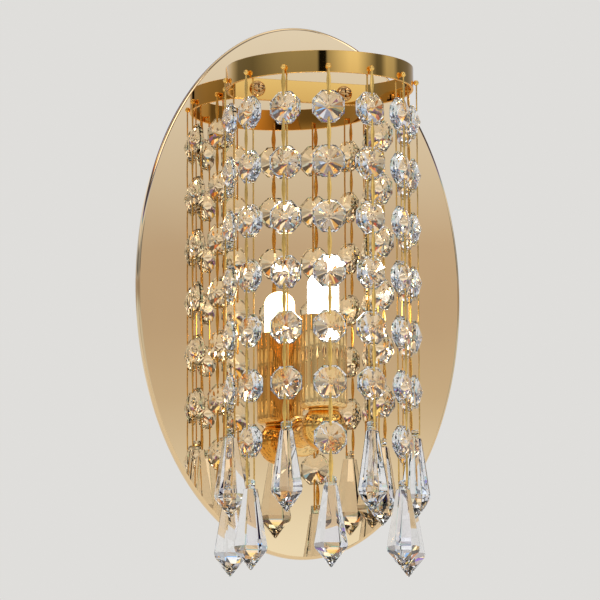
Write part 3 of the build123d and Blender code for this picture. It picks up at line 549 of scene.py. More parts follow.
def open_mesh():
    """Opens the active piece's mesh with all of its faces selected."""
    bpy.ops.object.mode_set(mode="EDIT")
    bpy.ops.mesh.select_mode(type="FACE")
    bpy.ops.mesh.select_all(action="SELECT")


def face_out():
    """Selects the whole mesh and turns its faces outwards."""
    bpy.ops.mesh.select_all(action="SELECT")
    bpy.ops.mesh.normals_make_consistent(inside=False)


def close_mesh():
    """Turns the faces outwards and leaves the mesh."""
    face_out()
    bpy.ops.object.mode_set(mode="OBJECT")


def draw_out(step, scale=(1, 1, 1)):
    """Extrudes the selected faces by a step and resizes their new end."""
    bpy.ops.mesh.extrude_region_move(TRANSFORM_OT_translate={"value": step})
    bpy.ops.transform.resize(value=scale)


def draw_up(rings):
    """Draws the selected face up through (radius, height) rings, from the first ring on."""
    radius, height = rings[0]
    for next_radius, next_height in rings[1:]:
        share = next_radius / radius
        draw_out((0, 0, next_height - height), (share, share, 1))
        radius, height = next_radius, next_height


def pick(test, mode="FACE"):
    """Selects the faces, edges or vertices of the open mesh that pass a test."""
    bpy.ops.mesh.select_mode(type=mode)
    bpy.ops.mesh.select_all(action="DESELECT")
    mesh = bmesh.from_edit_mesh(bpy.context.object.data)
    parts = {"FACE": mesh.faces, "EDGE": mesh.edges, "VERT": mesh.verts}[mode]
    for part in parts:
        if test(part):
            part.select_set(True)
    mesh.select_flush_mode()
    bmesh.update_edit_mesh(bpy.context.object.data)


def pick_rim(depth):
    """Selects the edges of the open mesh that lie at a distance from the wall."""
    pick(lambda edge: all(abs(vert.co.y - depth) < NEAR for vert in edge.verts), "EDGE")


def modified(piece, kind, **settings):
    """Gives a piece a modifier with its settings and applies it."""
    choose(piece)
    modifier = piece.modifiers.new(kind, kind)
    for name, value in settings.items():
        setattr(modifier, name, value)
    bpy.ops.object.modifier_apply(modifier=modifier.name)
    return piece


def true_flats(piece):
    """Keeps broad flat faces shaded flat beside small rounded edges."""
    return modified(piece, "WEIGHTED_NORMAL", mode="FACE_AREA", weight=100, keep_sharp=True)


def cut_out(piece, tool):
    """Cuts a tool's shape out of a piece and removes the tool."""
    modified(piece, "BOOLEAN", object=tool, operation="DIFFERENCE")
    bpy.data.objects.remove(tool)


def block(place, size):
    """A block with a size of its own along each axis."""
    deselect()
    bpy.ops.mesh.primitive_cube_add(size=1, location=place)
    bpy.context.object.scale = size
    return settle()


def drilled(piece, radius, places, reach=DRILL_LENGTH, sides=8, turn=(pi / 2, 0, 0)):
    """Drills holes through a piece, along Y unless turned."""
    for place in places:
        deselect()
        bpy.ops.mesh.primitive_cylinder_add(vertices=sides, radius=radius, depth=reach,
                                            location=place, rotation=turn)
        cut_out(piece, bpy.context.object)
    return piece


def turned(profile, sides=ROUND_SIDES, place=(0, 0, 0), turn=(0, 0, 0), angle=32):
    """A turned solid: a disc drawn up through (radius, height) points, then set down."""
    deselect()
    radius, height = profile[0]
    bpy.ops.mesh.primitive_circle_add(vertices=sides, radius=radius, fill_type="NGON",
                                      location=(0, 0, height))
    piece = settle()
    open_mesh()
    draw_up(profile)
    close_mesh()
    choose(piece)
    piece.location = place
    piece.rotation_euler = turn
    settle()
    smooth(angle)
    return true_flats(piece)


def arc(radius, height, reach, rise, turns):
    """Points of a profile on a quarter round, at turns in degrees up from its foot."""
    return [(radius + reach * cos(radians(turn)), height + rise * sin(radians(turn)))
            for turn in turns]


def oval_slab(high, depth):
    """An oval slab from the plate's back, as wide and high as a box. Its mesh is left open."""
    deselect()
    bpy.ops.mesh.primitive_circle_add(vertices=OVAL_SIDES, radius=1, fill_type="NGON",
                                      location=(0, PLATE_BACK, 0), rotation=(pi / 2, 0, 0))
    bpy.context.object.scale = (high.x, high.z, 1)
    slab = settle()
    open_mesh()
    draw_out((0, depth, 0))
    face_out()
    return slab


def joined(pieces):
    """Several meshes made one."""
    choose(pieces[0])
    for piece in pieces:
        piece.select_set(True)
    bpy.ops.object.join()
    return bpy.context.object


def copied(model, matrix):
    """A copy of a modelled piece, with a mesh of its own, set down through a matrix."""
    copy = bpy.data.objects.new(model.name, model.data.copy())
    copy.data.transform(matrix)
    bpy.context.scene.collection.objects.link(copy)
    return copy


def paint_split_light(piece, seed, share):
    """Paints split light: a share of a crystal's small facets hold back a different colour at each corner,
    as painted coloured glints.
    """
    layer = piece.data.color_attributes.new(PAINTED_SPLIT_LIGHT, "FLOAT_COLOR", "CORNER")
    for face in piece.data.polygons:
        number = face.index * 7 + seed * 13
        # The facets picked here get painted coloured glints in place of split light.
        split = face.area < SMALL_FACET and (number * GOLDEN_SHARE) % 1.0 < share
        for step, corner in enumerate(face.loop_indices):
            tone = PAINTED_SPLIT_TONES[(step + number) % 3] if split else (0.0, 0.0, 0.0)
            layer.data[corner].color = (*tone, 1.0)
    return piece


def finished(piece, name, finish, body, slot, *nodes):
    """Names a piece, gives it its finish and sets it on its body in place of the frame's nodes."""
    piece.name = name
    piece.data.name = name
    piece.data.materials.clear()
    piece.data.materials.append(finish)
    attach(piece, body)
    if nodes:
        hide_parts(*nodes)
    return piece


# ---------------------------------------------------------------- pieces
class SCONCE_OT_plate(bpy.types.Operator):
    """Models the oval plate with its bright bevel"""

    bl_idname = "sconce.plate"
    bl_label = "Oval plate"

    def execute(self, context):
        plate = oval_slab(PLATE_HIGH, PLATE_FRONT - PLATE_BACK)
        pick_rim(PLATE_FRONT)
        bpy.ops.mesh.bevel(offset=context.scene.sconce_sizes.plate_bevel, segments=3,
                           affect="EDGES")
        bpy.ops.object.mode_set(mode="OBJECT")
        smooth(50)
        bpy.ops.object.mode_set(mode="EDIT")
        pick(lambda edge: any(len(face.verts) == OVAL_SIDES for face in edge.link_faces), "EDGE")
        bpy.ops.mesh.mark_sharp()
        bpy.ops.object.mode_set(mode="OBJECT")
        finished(plate, "oval_plate", plate_finish(context), "fixture", "polished_gold",
                 "back_plate")
        return {"FINISHED"}


class SCONCE_OT_tray(bpy.types.Operator):
    """Models the oval sheet tray behind the plate, with its screw and arm holes"""

    bl_idname = "sconce.tray"
    bl_label = "Rear tray"

    def execute(self, context):
        depth = TRAY_HIGH.y - PLATE_BACK
        tray = oval_slab(TRAY_HIGH, depth)
        pick(lambda face: face.normal.y > FACING)
        bpy.ops.mesh.inset(thickness=TRAY_SHEET, depth=0)
        draw_out((0, TRAY_SHEET - depth, 0))
        pick_rim(PLATE_BACK)
        bpy.ops.mesh.bevel(offset=TRAY_EDGE, segments=2, affect="EDGES")
        bpy.ops.object.mode_set(mode="OBJECT")
        floor = [(side * SCREW_SPREAD, PLATE_BACK, SCREW_HEIGHT) for side in (-1, 1)]
        drilled(tray, SCREW_HOLE, floor, sides=24)
        drilled(tray, ARM_HOLE, [(0, PLATE_BACK, ARM_HEIGHT)], sides=36)
        wall = [(side * TRAY_HIGH.x, -TRAY_SCREW_DEPTH, 0) for side in (-1, 1)]
        drilled(tray, SCREW_HOLE, wall, sides=24, turn=(0, pi / 2, 0))
        smooth(50)
        finished(tray, "sheet_tray", sheet_finish(), "fixture", "zinc_sheet", "rear_tray")
        return {"FINISHED"}


class SCONCE_OT_ring(bpy.types.Operator):
    """Models the ring's polished band, with its flat back and eased edges"""

    bl_idname = "sconce.ring"
    bl_label = "Ring"

    def execute(self, context):
        deselect()
        centre = (0, RING_LOW.y + RING_RADIUS, RING_LOW.z)
        bpy.ops.mesh.primitive_circle_add(vertices=OVAL_SIDES, radius=RING_RADIUS,
                                          fill_type="NGON", location=centre)
        ring = settle()
        open_mesh()
        bpy.ops.mesh.bisect(plane_co=(0, PLATE_FRONT, 0), plane_no=(0, 1, 0), clear_outer=True)
        pick(lambda vert: abs(vert.co.y - PLATE_FRONT) < NEAR, "VERT")
        bpy.ops.mesh.bevel(offset=RING_CORNER, segments=8, affect="VERTICES")
        bpy.ops.mesh.select_mode(type="FACE")
        bpy.ops.mesh.select_all(action="SELECT")
        draw_out((0, 0, RING_HIGH.z - RING_LOW.z))
        face_out()
        pick(lambda face: abs(face.normal.z) > FACING)
        bpy.ops.mesh.delete(type="ONLY_FACE")
        bpy.ops.object.mode_set(mode="OBJECT")
        modified(ring, "SOLIDIFY", thickness=RING_WALL, offset=-1, use_even_offset=True)
        modified(ring, "BEVEL", width=RING_EDGE, segments=2, limit_method="ANGLE",
                 angle_limit=radians(60))
        smooth(50)
        true_flats(ring)
        finished(ring, "crystal_ring", gold_finish(context), "fixture", "polished_gold",
                 "ring_band")
        return {"FINISHED"}


class SCONCE_OT_ring_screws(bpy.types.Operator):
    """Models the two round-headed cross screws of the ring"""

    bl_idname = "sconce.ring_screws"
    bl_label = "Ring screws"

    def execute(self, context):
        seat = PLATE_FRONT - RING_WALL
        rise = seat - SCREW_LOW.y
        shank = SCREW_HEAD * 0.5
        skirt = rise * 0.25
        crown = SCREW_HEAD * 0.35
        profile = [(shank, seat - PLATE_BACK), (shank, 0.0), (SCREW_HEAD, 0.0), (SCREW_HEAD, skirt)]
        profile += arc(crown, skirt, SCREW_HEAD - crown, rise - skirt, (20, 40, 60, 78))
        screws = []
        for side in (-1, 1):
            x = side * SCREW_SPREAD
            screw = turned(profile, 40, (x, seat, SCREW_HEIGHT), (pi / 2, 0, 0))
            for width, length in ((CROSS_WIDTH, CROSS_LENGTH), (CROSS_LENGTH, CROSS_WIDTH)):
                recess = block((x, SCREW_LOW.y, SCREW_HEIGHT), (width, CROSS_DEPTH * 2, length))
                cut_out(screw, recess)
            screws.append(screw)
        finished(joined(screws), "ring_fixing_screws", screw_finish(), "fixture", "gold_screws",
                 "ring_screws")
        return {"FINISHED"}


def octagon_model(sizes):
    """A cut octagon facing -Y: on each side sixteen rays from its point, and small rim facets."""
    deselect()
    half_side = pi / 8
    corner = sizes.octagon_width / 2 / cos(half_side)
    bpy.ops.mesh.primitive_cylinder_add(vertices=16, radius=corner, depth=sizes.octagon_girdle,
                                        end_fill_type="NGON", rotation=(pi / 2, 0, 0))
    crystal = settle()
    bpy.ops.object.mode_set(mode="EDIT")

    def on_flat(vert):
        """Whether a corner lies at the middle of one of the eight flats."""
        turn = atan2(vert.co.x, vert.co.z) / (2 * half_side)
        return abs(turn - round(turn)) < 0.1

    pick(on_flat, "VERT")
    bpy.ops.transform.resize(value=(cos(half_side), 1, cos(half_side)))
    pick(lambda face: abs(face.normal.y) > FACING)
    rise = (sizes.octagon_thickness - sizes.octagon_girdle) / 2
    rim = rise * RIM_RISE
    bpy.ops.mesh.inset(thickness=sizes.octagon_width * RIM_INSET, depth=rim, use_individual=True)
    table = sizes.octagon_girdle / 2 + rim
    pick(lambda vert: on_flat(vert) and abs(abs(vert.co.y) - table) < NEAR, "VERT")
    bpy.ops.transform.resize(value=(RIM_SPREAD, 1.0, RIM_SPREAD))
    pick(lambda face: abs(face.normal.y) > FACING and len(face.verts) == 16)
    bpy.ops.mesh.poke(offset=rise - rim)
    bpy.ops.mesh.select_all(action="SELECT")
    bpy.ops.mesh.quads_convert_to_tris()
    close_mesh()
    holes = [(0, 0, side * sizes.hole_offset) for side in (-1, 1)]
    return drilled(crystal, sizes.hole_radius, holes, 2 * sizes.octagon_thickness)


def drop_model(sizes, length, hole_to_top):
    """A six-sided drop on a hole at the origin: neck, shoulder, long body and cut point."""
    deselect()
    widest = sizes.drop_width / 2
    bottom = hole_to_top - length
    bpy.ops.mesh.primitive_circle_add(vertices=6, radius=DROP_TIP, fill_type="NGON",
                                      location=(0, 0, bottom), rotation=(0, 0, pi / 2))
    drop = settle()
    open_mesh()
    rings = [(DROP_TIP, bottom)]
    rings += [(widest * share, bottom + rise) for rise, share in DROP_POINT]
    rings.append((sizes.drop_shoulder / 2, -NECK_HEIGHT / 2))
    draw_up(rings)
    draw_out((0, 0, NECK_FOOT), NECK_SHAPE)
    draw_out((0, 0, NECK_HEIGHT - NECK_FOOT - NECK_CROWN))
    draw_out((0, 0, NECK_CROWN), CROWN_SHAPE)
    first_ring = rings[1][1]
    pick(lambda vert: abs(vert.co.z - first_ring) < NEAR, "VERT")
    bpy.ops.transform.rotate(value=pi / 6, orient_axis="Z", center_override=(0, 0, first_ring))
    pick(lambda edge: len(edge.link_faces) == 2 and edge.calc_face_angle() > RIDGE_ANGLE
         and abs(edge.verts[0].co.z - edge.verts[1].co.z) > RIDGE_HEIGHT, "EDGE")
    bpy.ops.mesh.bevel(offset=DROP_EDGE, segments=1, affect="EDGES")
    bpy.ops.mesh.select_all(action="SELECT")
    bpy.ops.mesh.quads_convert_to_tris()
    close_mesh()
    return drilled(drop, sizes.hole_radius, [(0, 0, 0)], 2 * DRILL_LENGTH)


def leg_model(top, bottom, offset, end_width, middle_width, bow=0.0):
    """A leg drawn down from a small oval face and pressed out to a leaf in its middle."""
    deselect()
    bpy.ops.mesh.primitive_circle_add(vertices=WIRE_SIDES, radius=0.5, fill_type="NGON",
                                      location=(0, offset, top))
    bpy.context.object.scale = (end_width, LEG_THICKNESS, 1)
    leg = settle()
    open_mesh()
    width, shift = end_width, 0.0
    for number in range(1, LEG_STEPS + 1):
        swell = sin(pi * number / LEG_STEPS)
        next_width = end_width + (middle_width - end_width) * swell ** 2
        next_shift = bow * swell
        step = (0, next_shift - shift, (bottom - top) / LEG_STEPS)
        draw_out(step, (next_width / width, 1, 1))
        width, shift = next_width, next_shift
    close_mesh()
    smooth(40)
    return leg


def cross_wire(height, front, radius):
    """The short round wire that passes through a crystal's hole."""
    deselect()
    middle = (front + LEG_OFFSET) / 2
    bpy.ops.mesh.primitive_cylinder_add(vertices=WIRE_SIDES, radius=radius,
                                        depth=LEG_OFFSET - front, location=(0, middle, height),
                                        rotation=(pi / 2, 0, 0))
    wire = settle()
    smooth(50)
    return wire


def link_model(sizes):
    """A link: a leaf-shaped front leg, a thin rear leg and the wires through the two crystals."""
    wire, leaf = sizes.wire_width, sizes.leaf_width
    half = wire / 2
    return joined([
        leg_model(half, -LINK_LENGTH - half, -LEG_OFFSET, wire, leaf, -LINK_BOW),
        leg_model(half, -LINK_LENGTH - half, LEG_OFFSET, wire, wire, LINK_BOW),
        cross_wire(0, -LEG_OFFSET, half),
        cross_wire(-LINK_LENGTH, -LEG_OFFSET, half),
    ])


def pin_model(sizes):
    """The pin at the top of a strand, with its ball head outside the ring."""
    wire, leaf = sizes.wire_width, sizes.leaf_width * PIN_LEAF_SHARE
    half = wire / 2
    deselect()
    bpy.ops.mesh.primitive_uv_sphere_add(segments=20, ring_count=12, radius=PIN_BALL,
                                         location=(0, -HEAD_OFFSET, 0), rotation=(pi / 2, 0, 0))
    head = settle()
    smooth(60)
    return joined([
        head,
        leg_model(PIN_LEAF_TOP, -PIN_DROP - half, -LEG_OFFSET, wire, leaf),
        leg_model(half, -PIN_DROP - half, LEG_OFFSET, wire, wire),
        cross_wire(0, -HEAD_OFFSET, half),
        cross_wire(-PIN_DROP, -LEG_OFFSET, half),
    ])


def strand_frame(strand):
    """A strand's place: X along the ring, -Y away from the ring's axis, with Z left at zero."""
    joint = SWINGS[strand]
    angle = atan2(-joint["axis"][1], -joint["axis"][0])
    x, y, _ = joint["pos_m"]
    return Matrix.Translation((x, y, 0)) @ Matrix.Rotation(angle, 4, "Z")


def down(place, height):
    """A strand's place at a height."""
    return place @ Matrix.Translation((0, 0, height))


def octagon_heights(strand, sizes):
    """The heights of a strand's octagons, read from the frame."""
    low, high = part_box(strand + "_octagons")
    top = high.z - sizes.octagon_width / 2
    count = round((high.z - low.z - sizes.octagon_width) / sizes.octagon_pitch) + 1
    return [top - number * sizes.octagon_pitch for number in range(count)]


class SCONCE_OT_octagons(bpy.types.Operator):
    """Models the cut octagon once and hangs it down every strand"""

    bl_idname = "sconce.octagons"
    bl_label = "Octagons"

    def execute(self, context):
        sizes = context.scene.sconce_sizes
        model = octagon_model(sizes)
        for column, strand in enumerate(STRANDS):
            copies = []
            for row, height in enumerate(octagon_heights(strand, sizes)):
                turn = HANGING_TURN * sin(TURN_BY_ROW * row + TURN_BY_STRAND * column)
                place = down(strand_frame(strand), height) @ Matrix.Rotation(turn, 4, "Z")
                # Each octagon copy gets painted split light on some small facets.
                copies.append(paint_split_light(copied(model, place), row + 10 * column, OCTAGON_PAINTED_SPLIT))
            finished(joined(copies), "octagons" + strand[-3:], crystal_finish(context), strand,
                     "cut_crystal", strand + "_octagons")
        bpy.data.objects.remove(model)
        return {"FINISHED"}


class SCONCE_OT_links(bpy.types.Operator):
    """Models the ball pin and the link once and repeats them down every strand"""

    bl_idname = "sconce.links"
    bl_label = "Pins and links"

    def execute(self, context):
        sizes = context.scene.sconce_sizes
        pin = pin_model(sizes)
        link = link_model(sizes)
        for strand in STRANDS:
            place = strand_frame(strand)
            copies = [copied(pin, down(place, SWINGS[strand]["pos_m"][2]))]
            for height in octagon_heights(strand, sizes):
                copies.append(copied(link, down(place, height - sizes.hole_offset)))
            finished(joined(copies), "links" + strand[-3:], wire_finish(context), strand,
                     "gold_wire", strand + "_links")
        for model in (pin, link):
            bpy.data.objects.remove(model)
        return {"FINISHED"}


class SCONCE_OT_drops(bpy.types.Operator):
    """Models the long drop once and hangs it on the end of every strand"""

    bl_idname = "sconce.drops"
    bl_label = "Drops"

    def execute(self, context):
        low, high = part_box(STRANDS[0] + "_drop")
        hole = SWAYS[STRANDS[0]]["pos_m"][2]
        model = drop_model(context.scene.sconce_sizes, high.z - low.z, high.z - hole)
        for column, strand in enumerate(STRANDS):
            sway = SWAYS[strand]
            drop = copied(model, down(strand_frame(strand), sway["pos_m"][2]))
            # Each drop gets painted split light on some small facets.
            paint_split_light(drop, column, DROP_PAINTED_SPLIT)
            finished(drop, "long_drop" + strand[-3:], crystal_finish(context), sway["child"],
                     "cut_crystal", strand + "_drop")
        bpy.data.objects.remove(model)
        return {"FINISHED"}


class SCONCE_OT_lamp(bpy.types.Operator):
    """Models the arm, its collar, the ball hub, the neck and the sleeve"""

    bl_idname = "sconce.lamp"
    bl_label = "Arm, hub and sleeve"

    def execute(self, context):
        bore = ARM_RADIUS * ARM_BORE
        reach = ARM_HIGH.y - ARM_LOW.y
        profile = [(ARM_RADIUS, 0), (ARM_RADIUS, reach), (bore, reach), (bore, ARM_END)]
        arm = turned(profile, 48, (0, ARM_HIGH.y, ARM_HEIGHT), (pi / 2, 0, 0))
        finished(arm, "arm_tube", painted_bright_lamp_finish(context), "fixture", "polished_gold", "lamp_arm")

        radius = half_width(ROSETTE_LOW, ROSETTE_HIGH)
        rise = ROSETTE_HIGH.y - ROSETTE_LOW.y
        edge = rise * 0.3
        profile = [(radius, 0), (radius, edge)]
        profile += arc(ARM_RADIUS, edge, radius - ARM_RADIUS, rise - edge,
                       (15, 30, 45, 60, 75, 88))
        rosette = turned(profile, ROUND_SIDES, (0, PLATE_FRONT, ARM_HEIGHT), (pi / 2, 0, 0))
        finished(rosette, "arm_collar", painted_bright_lamp_finish(context), "fixture", "polished_gold",
                 "arm_rosette")

        radius = half_width(HUB_LOW, HUB_HIGH)
        lowest = -radius * HUB_DEPTH
        span = HUB_HIGH.z - ARM_HEIGHT - lowest
        profile = []
        for band in range(HUB_BANDS + 1):
            height = lowest + span * (1 - cos(pi * band / HUB_BANDS)) / 2
            profile.append((max(HUB_POLE, sqrt(max(radius ** 2 - height ** 2, 0))), height))
        hub = turned(profile, ROUND_SIDES, (0, LAMP_Y, ARM_HEIGHT), angle=30)
        finished(hub, "ball_hub", gold_finish(context), "fixture", "polished_gold", "lamp_hub")

        radius = half_width(NECK_LOW, NECK_HIGH)
        eased = radius * 0.96
        rise = NECK_HIGH.z - NECK_LOW.z
        profile = [(eased, 0), (radius, rise * 0.25), (radius, rise * 0.75), (eased, rise)]
        neck = turned(profile, ROUND_SIDES, (0, LAMP_Y, NECK_LOW.z), angle=50)
        finished(neck, "hub_neck", gold_finish(context), "fixture", "polished_gold",
                 "neck_collar")

        foot, ease = SLEEVE_ROUNDING, SLEEVE_EASE
        height = SLEEVE_HIGH.z - SLEEVE_LOW.z
        inside = SLEEVE_RADIUS - SLEEVE_WALL
        profile = [(SLEEVE_RADIUS - foot, 0)]
        profile += arc(SLEEVE_RADIUS - foot, foot, foot, foot, (-72, -54, -36, -18, 0))
        profile += [(SLEEVE_RADIUS, height - ease), (SLEEVE_RADIUS - ease, height)]
        profile += [(inside + ease / 2, height), (inside, height - ease), (inside, foot)]
        profile.append((inside - SLEEVE_FILLET, SLEEVE_WALL))
        sleeve = turned(profile, 96, (0, LAMP_Y, SLEEVE_LOW.z), angle=40)
        finished(sleeve, "lamp_cover", painted_bright_lamp_finish(context), "fixture", "polished_gold",
                 "lamp_sleeve")
        return {"FINISHED"}


class SCONCE_OT_bulb(bpy.types.Operator):
    """Models the lit capsule bulb on its pinched base"""

    bl_idname = "sconce.bulb"
    bl_label = "Bulb"

    def execute(self, context):
        radius = half_width(BULB_LOW, BULB_HIGH)
        height = BULB_HIGH.z - BULB_LOW.z
        dome = radius * BULB_DOME
        profile = [(radius * BULB_FOOT, BULB_BASE - BULB_SUNK)]
        profile += [(radius * share, BULB_BASE + radius * rise) for share, rise in BULB_SHOULDER]
        profile.append((radius, height - dome))
        profile += arc(0, height - dome, radius, dome, (15, 30, 45, 60, 72, 82))
        profile.append((radius * BULB_TIP, height))
        glass = turned(profile, 64, (0, LAMP_Y, BULB_LOW.z), angle=45)
        pinch = block((0, LAMP_Y, BULB_LOW.z + BULB_BASE / 2), BULB_PINCH)
        modified(pinch, "BEVEL", width=BULB_PINCH_EDGE, segments=4)
        smooth(40)
        finished(joined([glass, pinch]), "capsule_bulb", glass_finish(context), "bulb",
                 "bulb_glass", "bulb_glass")
        return {"FINISHED"}


class SCONCE_OT_hardware(bpy.types.Operator):
    """Gives the frame's own pieces their finishes"""

    bl_idname = "sconce.hardware"
    bl_label = "Bracket, fixings and wiring"

    def execute(self, context):
        finishes = {
            "polished_gold": gold_finish(context),
            "gold_screws": screw_finish(),
            "gold_wire": wire_finish(context),
            "cut_crystal": crystal_finish(context),
            "bulb_glass": glass_finish(context),
            "zinc_sheet": sheet_finish(),
            "steel_hardware": small_metal("zinc-plated hardware", (0.62, 0.62, 0.64)),
            "brass_hardware": small_metal("plain brass", (0.74, 0.56, 0.27)),
            "grommet_rubber": moulded("black rubber", (0.045, 0.045, 0.045), 0.65, 0.00008),
            "porcelain": moulded("glazed porcelain", (0.90, 0.89, 0.85), 0.14, 0.00002),
            "terminal_plastic": moulded("white moulded plastic", (0.86, 0.86, 0.83), 0.42),
            "lead_insulation": woven_sleeving("woven sleeving", (0.84, 0.82, 0.77)),
            "filament": lit_glass("glowing filament", (1.0, 0.80, 0.50), 8.0),
        }
        for subpart in frame["record"]["subparts"]:
            node = frame["nodes"][subpart["node"]]
            for socket in node.material_slots:
                socket.material = finishes[subpart["material_slot"]]
        return {"FINISHED"}


# ---------------------------------------------------------------- stage
# The room that metal and crystal mirror at the ring's height, as (share of a turn from the wall round by
# the left, grey): pale behind the sconce, dim at both sides, with one broad bright screen beside the camera.
ROOM = [
    (0.00, 0.74), (0.06, 0.66), (0.12, 0.18), (0.20, 0.16), (0.30, 0.34), (0.36, 0.385),
    (0.440, 0.37), (0.477, 0.42), (0.51, 0.72), (0.55, 1.00), (0.58, 1.00), (0.615, 0.56),
    (0.655, 0.14), (0.674, 0.16), (0.700, 0.60), (0.735, 0.54), (0.76, 0.15), (0.83, 0.22),
    (0.88, 0.40), (0.93, 0.70), (1.00, 0.74),
]
# The room above and below that height, where its dim sides are softer.
OPEN_ROOM = [
    (0.00, 0.88), (0.10, 0.68), (0.22, 0.78), (0.30, 0.42), (0.36, 0.66), (0.477, 0.64),
    (0.51, 0.74), (0.55, 1.00), (0.58, 1.00), (0.615, 0.80), (0.665, 0.38), (0.72, 0.86),
    (0.78, 0.44), (0.86, 0.70), (1.00, 0.88),
]
# The ring's height, as (sine of the height above the horizon, share of the first room).
RING_HEIGHTS = [(0.168, 0.0), (0.188, 1.0), (0.245, 1.0), (0.275, 0.0)]
# The room's colour by height, as (sine of the height, colour): warm and dim a little above the horizon, with
# dark bands further down and up whose edges are coloured, as cut crystal splits them, and dim overhead.
LEVELS = [
    (-0.52, (0.90, 0.90, 0.90)), (-0.42, (1.05, 1.05, 1.05)), (-0.40, (0.30, 0.70, 1.30)),
    (-0.38, (0.30, 0.12, 0.60)), (-0.36, (0.10, 0.10, 0.12)), (-0.25, (0.12, 0.10, 0.10)),
    (-0.23, (1.00, 0.25, 0.08)), (-0.21, (1.20, 1.00, 0.25)), (-0.19, (1.30, 1.30, 1.30)),
    (-0.06, (1.10, 1.10, 1.12)), (0.00, (0.96, 1.00, 1.06)), (0.085, (0.94, 1.03, 1.13)),
    (0.121, (0.64, 0.61, 0.58)), (0.139, (0.57, 0.52, 0.49)), (0.158, (0.58, 0.53, 0.51)),
    (0.176, (0.70, 0.72, 0.78)), (0.215, (0.86, 0.96, 1.16)), (0.33, (1.20, 1.20, 1.22)),
    (0.35, (0.30, 0.80, 1.40)), (0.37, (0.40, 0.15, 0.70)), (0.39, (0.12, 0.12, 0.14)),
    (0.50, (0.14, 0.12, 0.12)), (0.52, (1.00, 0.25, 0.08)), (0.54, (1.30, 1.05, 0.25)),
    (0.56, (1.40, 1.40, 1.40)), (0.63, (0.30, 0.29, 0.36)), (0.80, (0.24, 0.24, 0.30)),
    (0.86, (1.20, 1.20, 1.20)),
]
LEVELS_SHARE = 0.8
# A dark gap behind the camera, from side to side and from foot to head, on the same two scales.
GAP_SIDES = [(0.440, 0.0), (0.448, 1.0), (0.469, 1.0), (0.477, 0.0)]
GAP_HEIGHTS = [(0.165, 0.0), (0.175, 1.0), (0.245, 1.0), (0.255, 0.0)]
GAP_DARKNESS = 0.98
MIRRORED_STRENGTH = 1.25
SOFT_LIGHT = (1.0, 0.99, 0.97, 1.0)
SOFT_STRENGTH = 0.99


def studio_world(backdrop):
    """A pale room: plain to the camera, with soft light and dim parts for metal and crystal."""
    world = bpy.data.worlds.new("Studio")
    bpy.context.scene.world = world
    world.use_nodes = True
    world.node_tree.nodes.clear()
    sheet = NodeSheet(world.node_tree)
    direction = sheet.add("ShaderNodeTexCoord").outputs["Generated"]
    axes = sheet.add("ShaderNodeSeparateXYZ", Vector=direction).outputs
    turn = sheet.sum("ARCTAN2", axes["X"], sheet.sum("MULTIPLY", axes["Y"], -1.0))
    share = sheet.sum("MULTIPLY_ADD", turn, 0.5 / pi, 0.5)
    lowest, highest = LEVELS[0][0], LEVELS[-1][0]
    span = highest - lowest
    height = sheet.add("ShaderNodeMapRange", Value=axes["Z"], From_Min=lowest,
                       From_Max=highest).outputs["Result"]

    def by_side(stops):
        return sheet.ramp(share, [(place, (grey, grey, grey)) for place, grey in stops])

    def by_height(stops):
        return sheet.ramp(height, [((place - lowest) / span, (grey, grey, grey))
                                   for place, grey in stops])

    at_ring = by_height(RING_HEIGHTS)
    walls = sheet.sum("ADD", sheet.sum("MULTIPLY", at_ring, by_side(ROOM)),
                      sheet.sum("MULTIPLY", sheet.sum("SUBTRACT", 1.0, at_ring),
                                by_side(OPEN_ROOM)))
    levels = sheet.ramp(height, [((place - lowest) / span,
                                  tuple(LEVELS_SHARE * part for part in colour))
                                 for place, colour in LEVELS])
    gap = sheet.sum("MULTIPLY", by_side(GAP_SIDES), by_height(GAP_HEIGHTS))
    strength = sheet.sum("MULTIPLY", MIRRORED_STRENGTH,
                         sheet.sum("SUBTRACT", 1.0, sheet.sum("MULTIPLY", gap, GAP_DARKNESS)))
    mirrored = sheet.add("ShaderNodeBackground", Color=sheet.blend("MULTIPLY", walls, levels),
                         Strength=strength)
    lighting = sheet.add("ShaderNodeBackground", Color=SOFT_LIGHT, Strength=SOFT_STRENGTH)
    seen = sheet.add("ShaderNodeBackground", Color=(*backdrop, 1.0))

    def either(factor, first, second):
        node = sheet.add("ShaderNodeMixShader", Fac=factor)
        sheet.feed(node.inputs[1], first.outputs[0])
        sheet.feed(node.inputs[2], second.outputs[0])
        return node

    path = sheet.add("ShaderNodeLightPath").outputs
    shiny = sheet.sum("MAXIMUM", path["Is Glossy Ray"], path["Is Transmission Ray"])
    view = either(path["Is Camera Ray"], either(shiny, lighting, mirrored), seen)
    sheet.add("ShaderNodeOutputWorld", Surface=view.outputs["Shader"])


def softbox(name, place, size, power):
    """A square soft light that faces the sconce."""
    lamp = bpy.data.lights.new(name, "AREA")
    lamp.shape = "SQUARE"
    lamp.size = size
    lamp.energy = power
    box = bpy.data.objects.new(name, lamp)
    box.location = place
    box.rotation_euler = (LIGHTS_AIM - Vector(place)).to_track_quat("-Z", "Y").to_euler()
    bpy.context.scene.collection.objects.link(box)


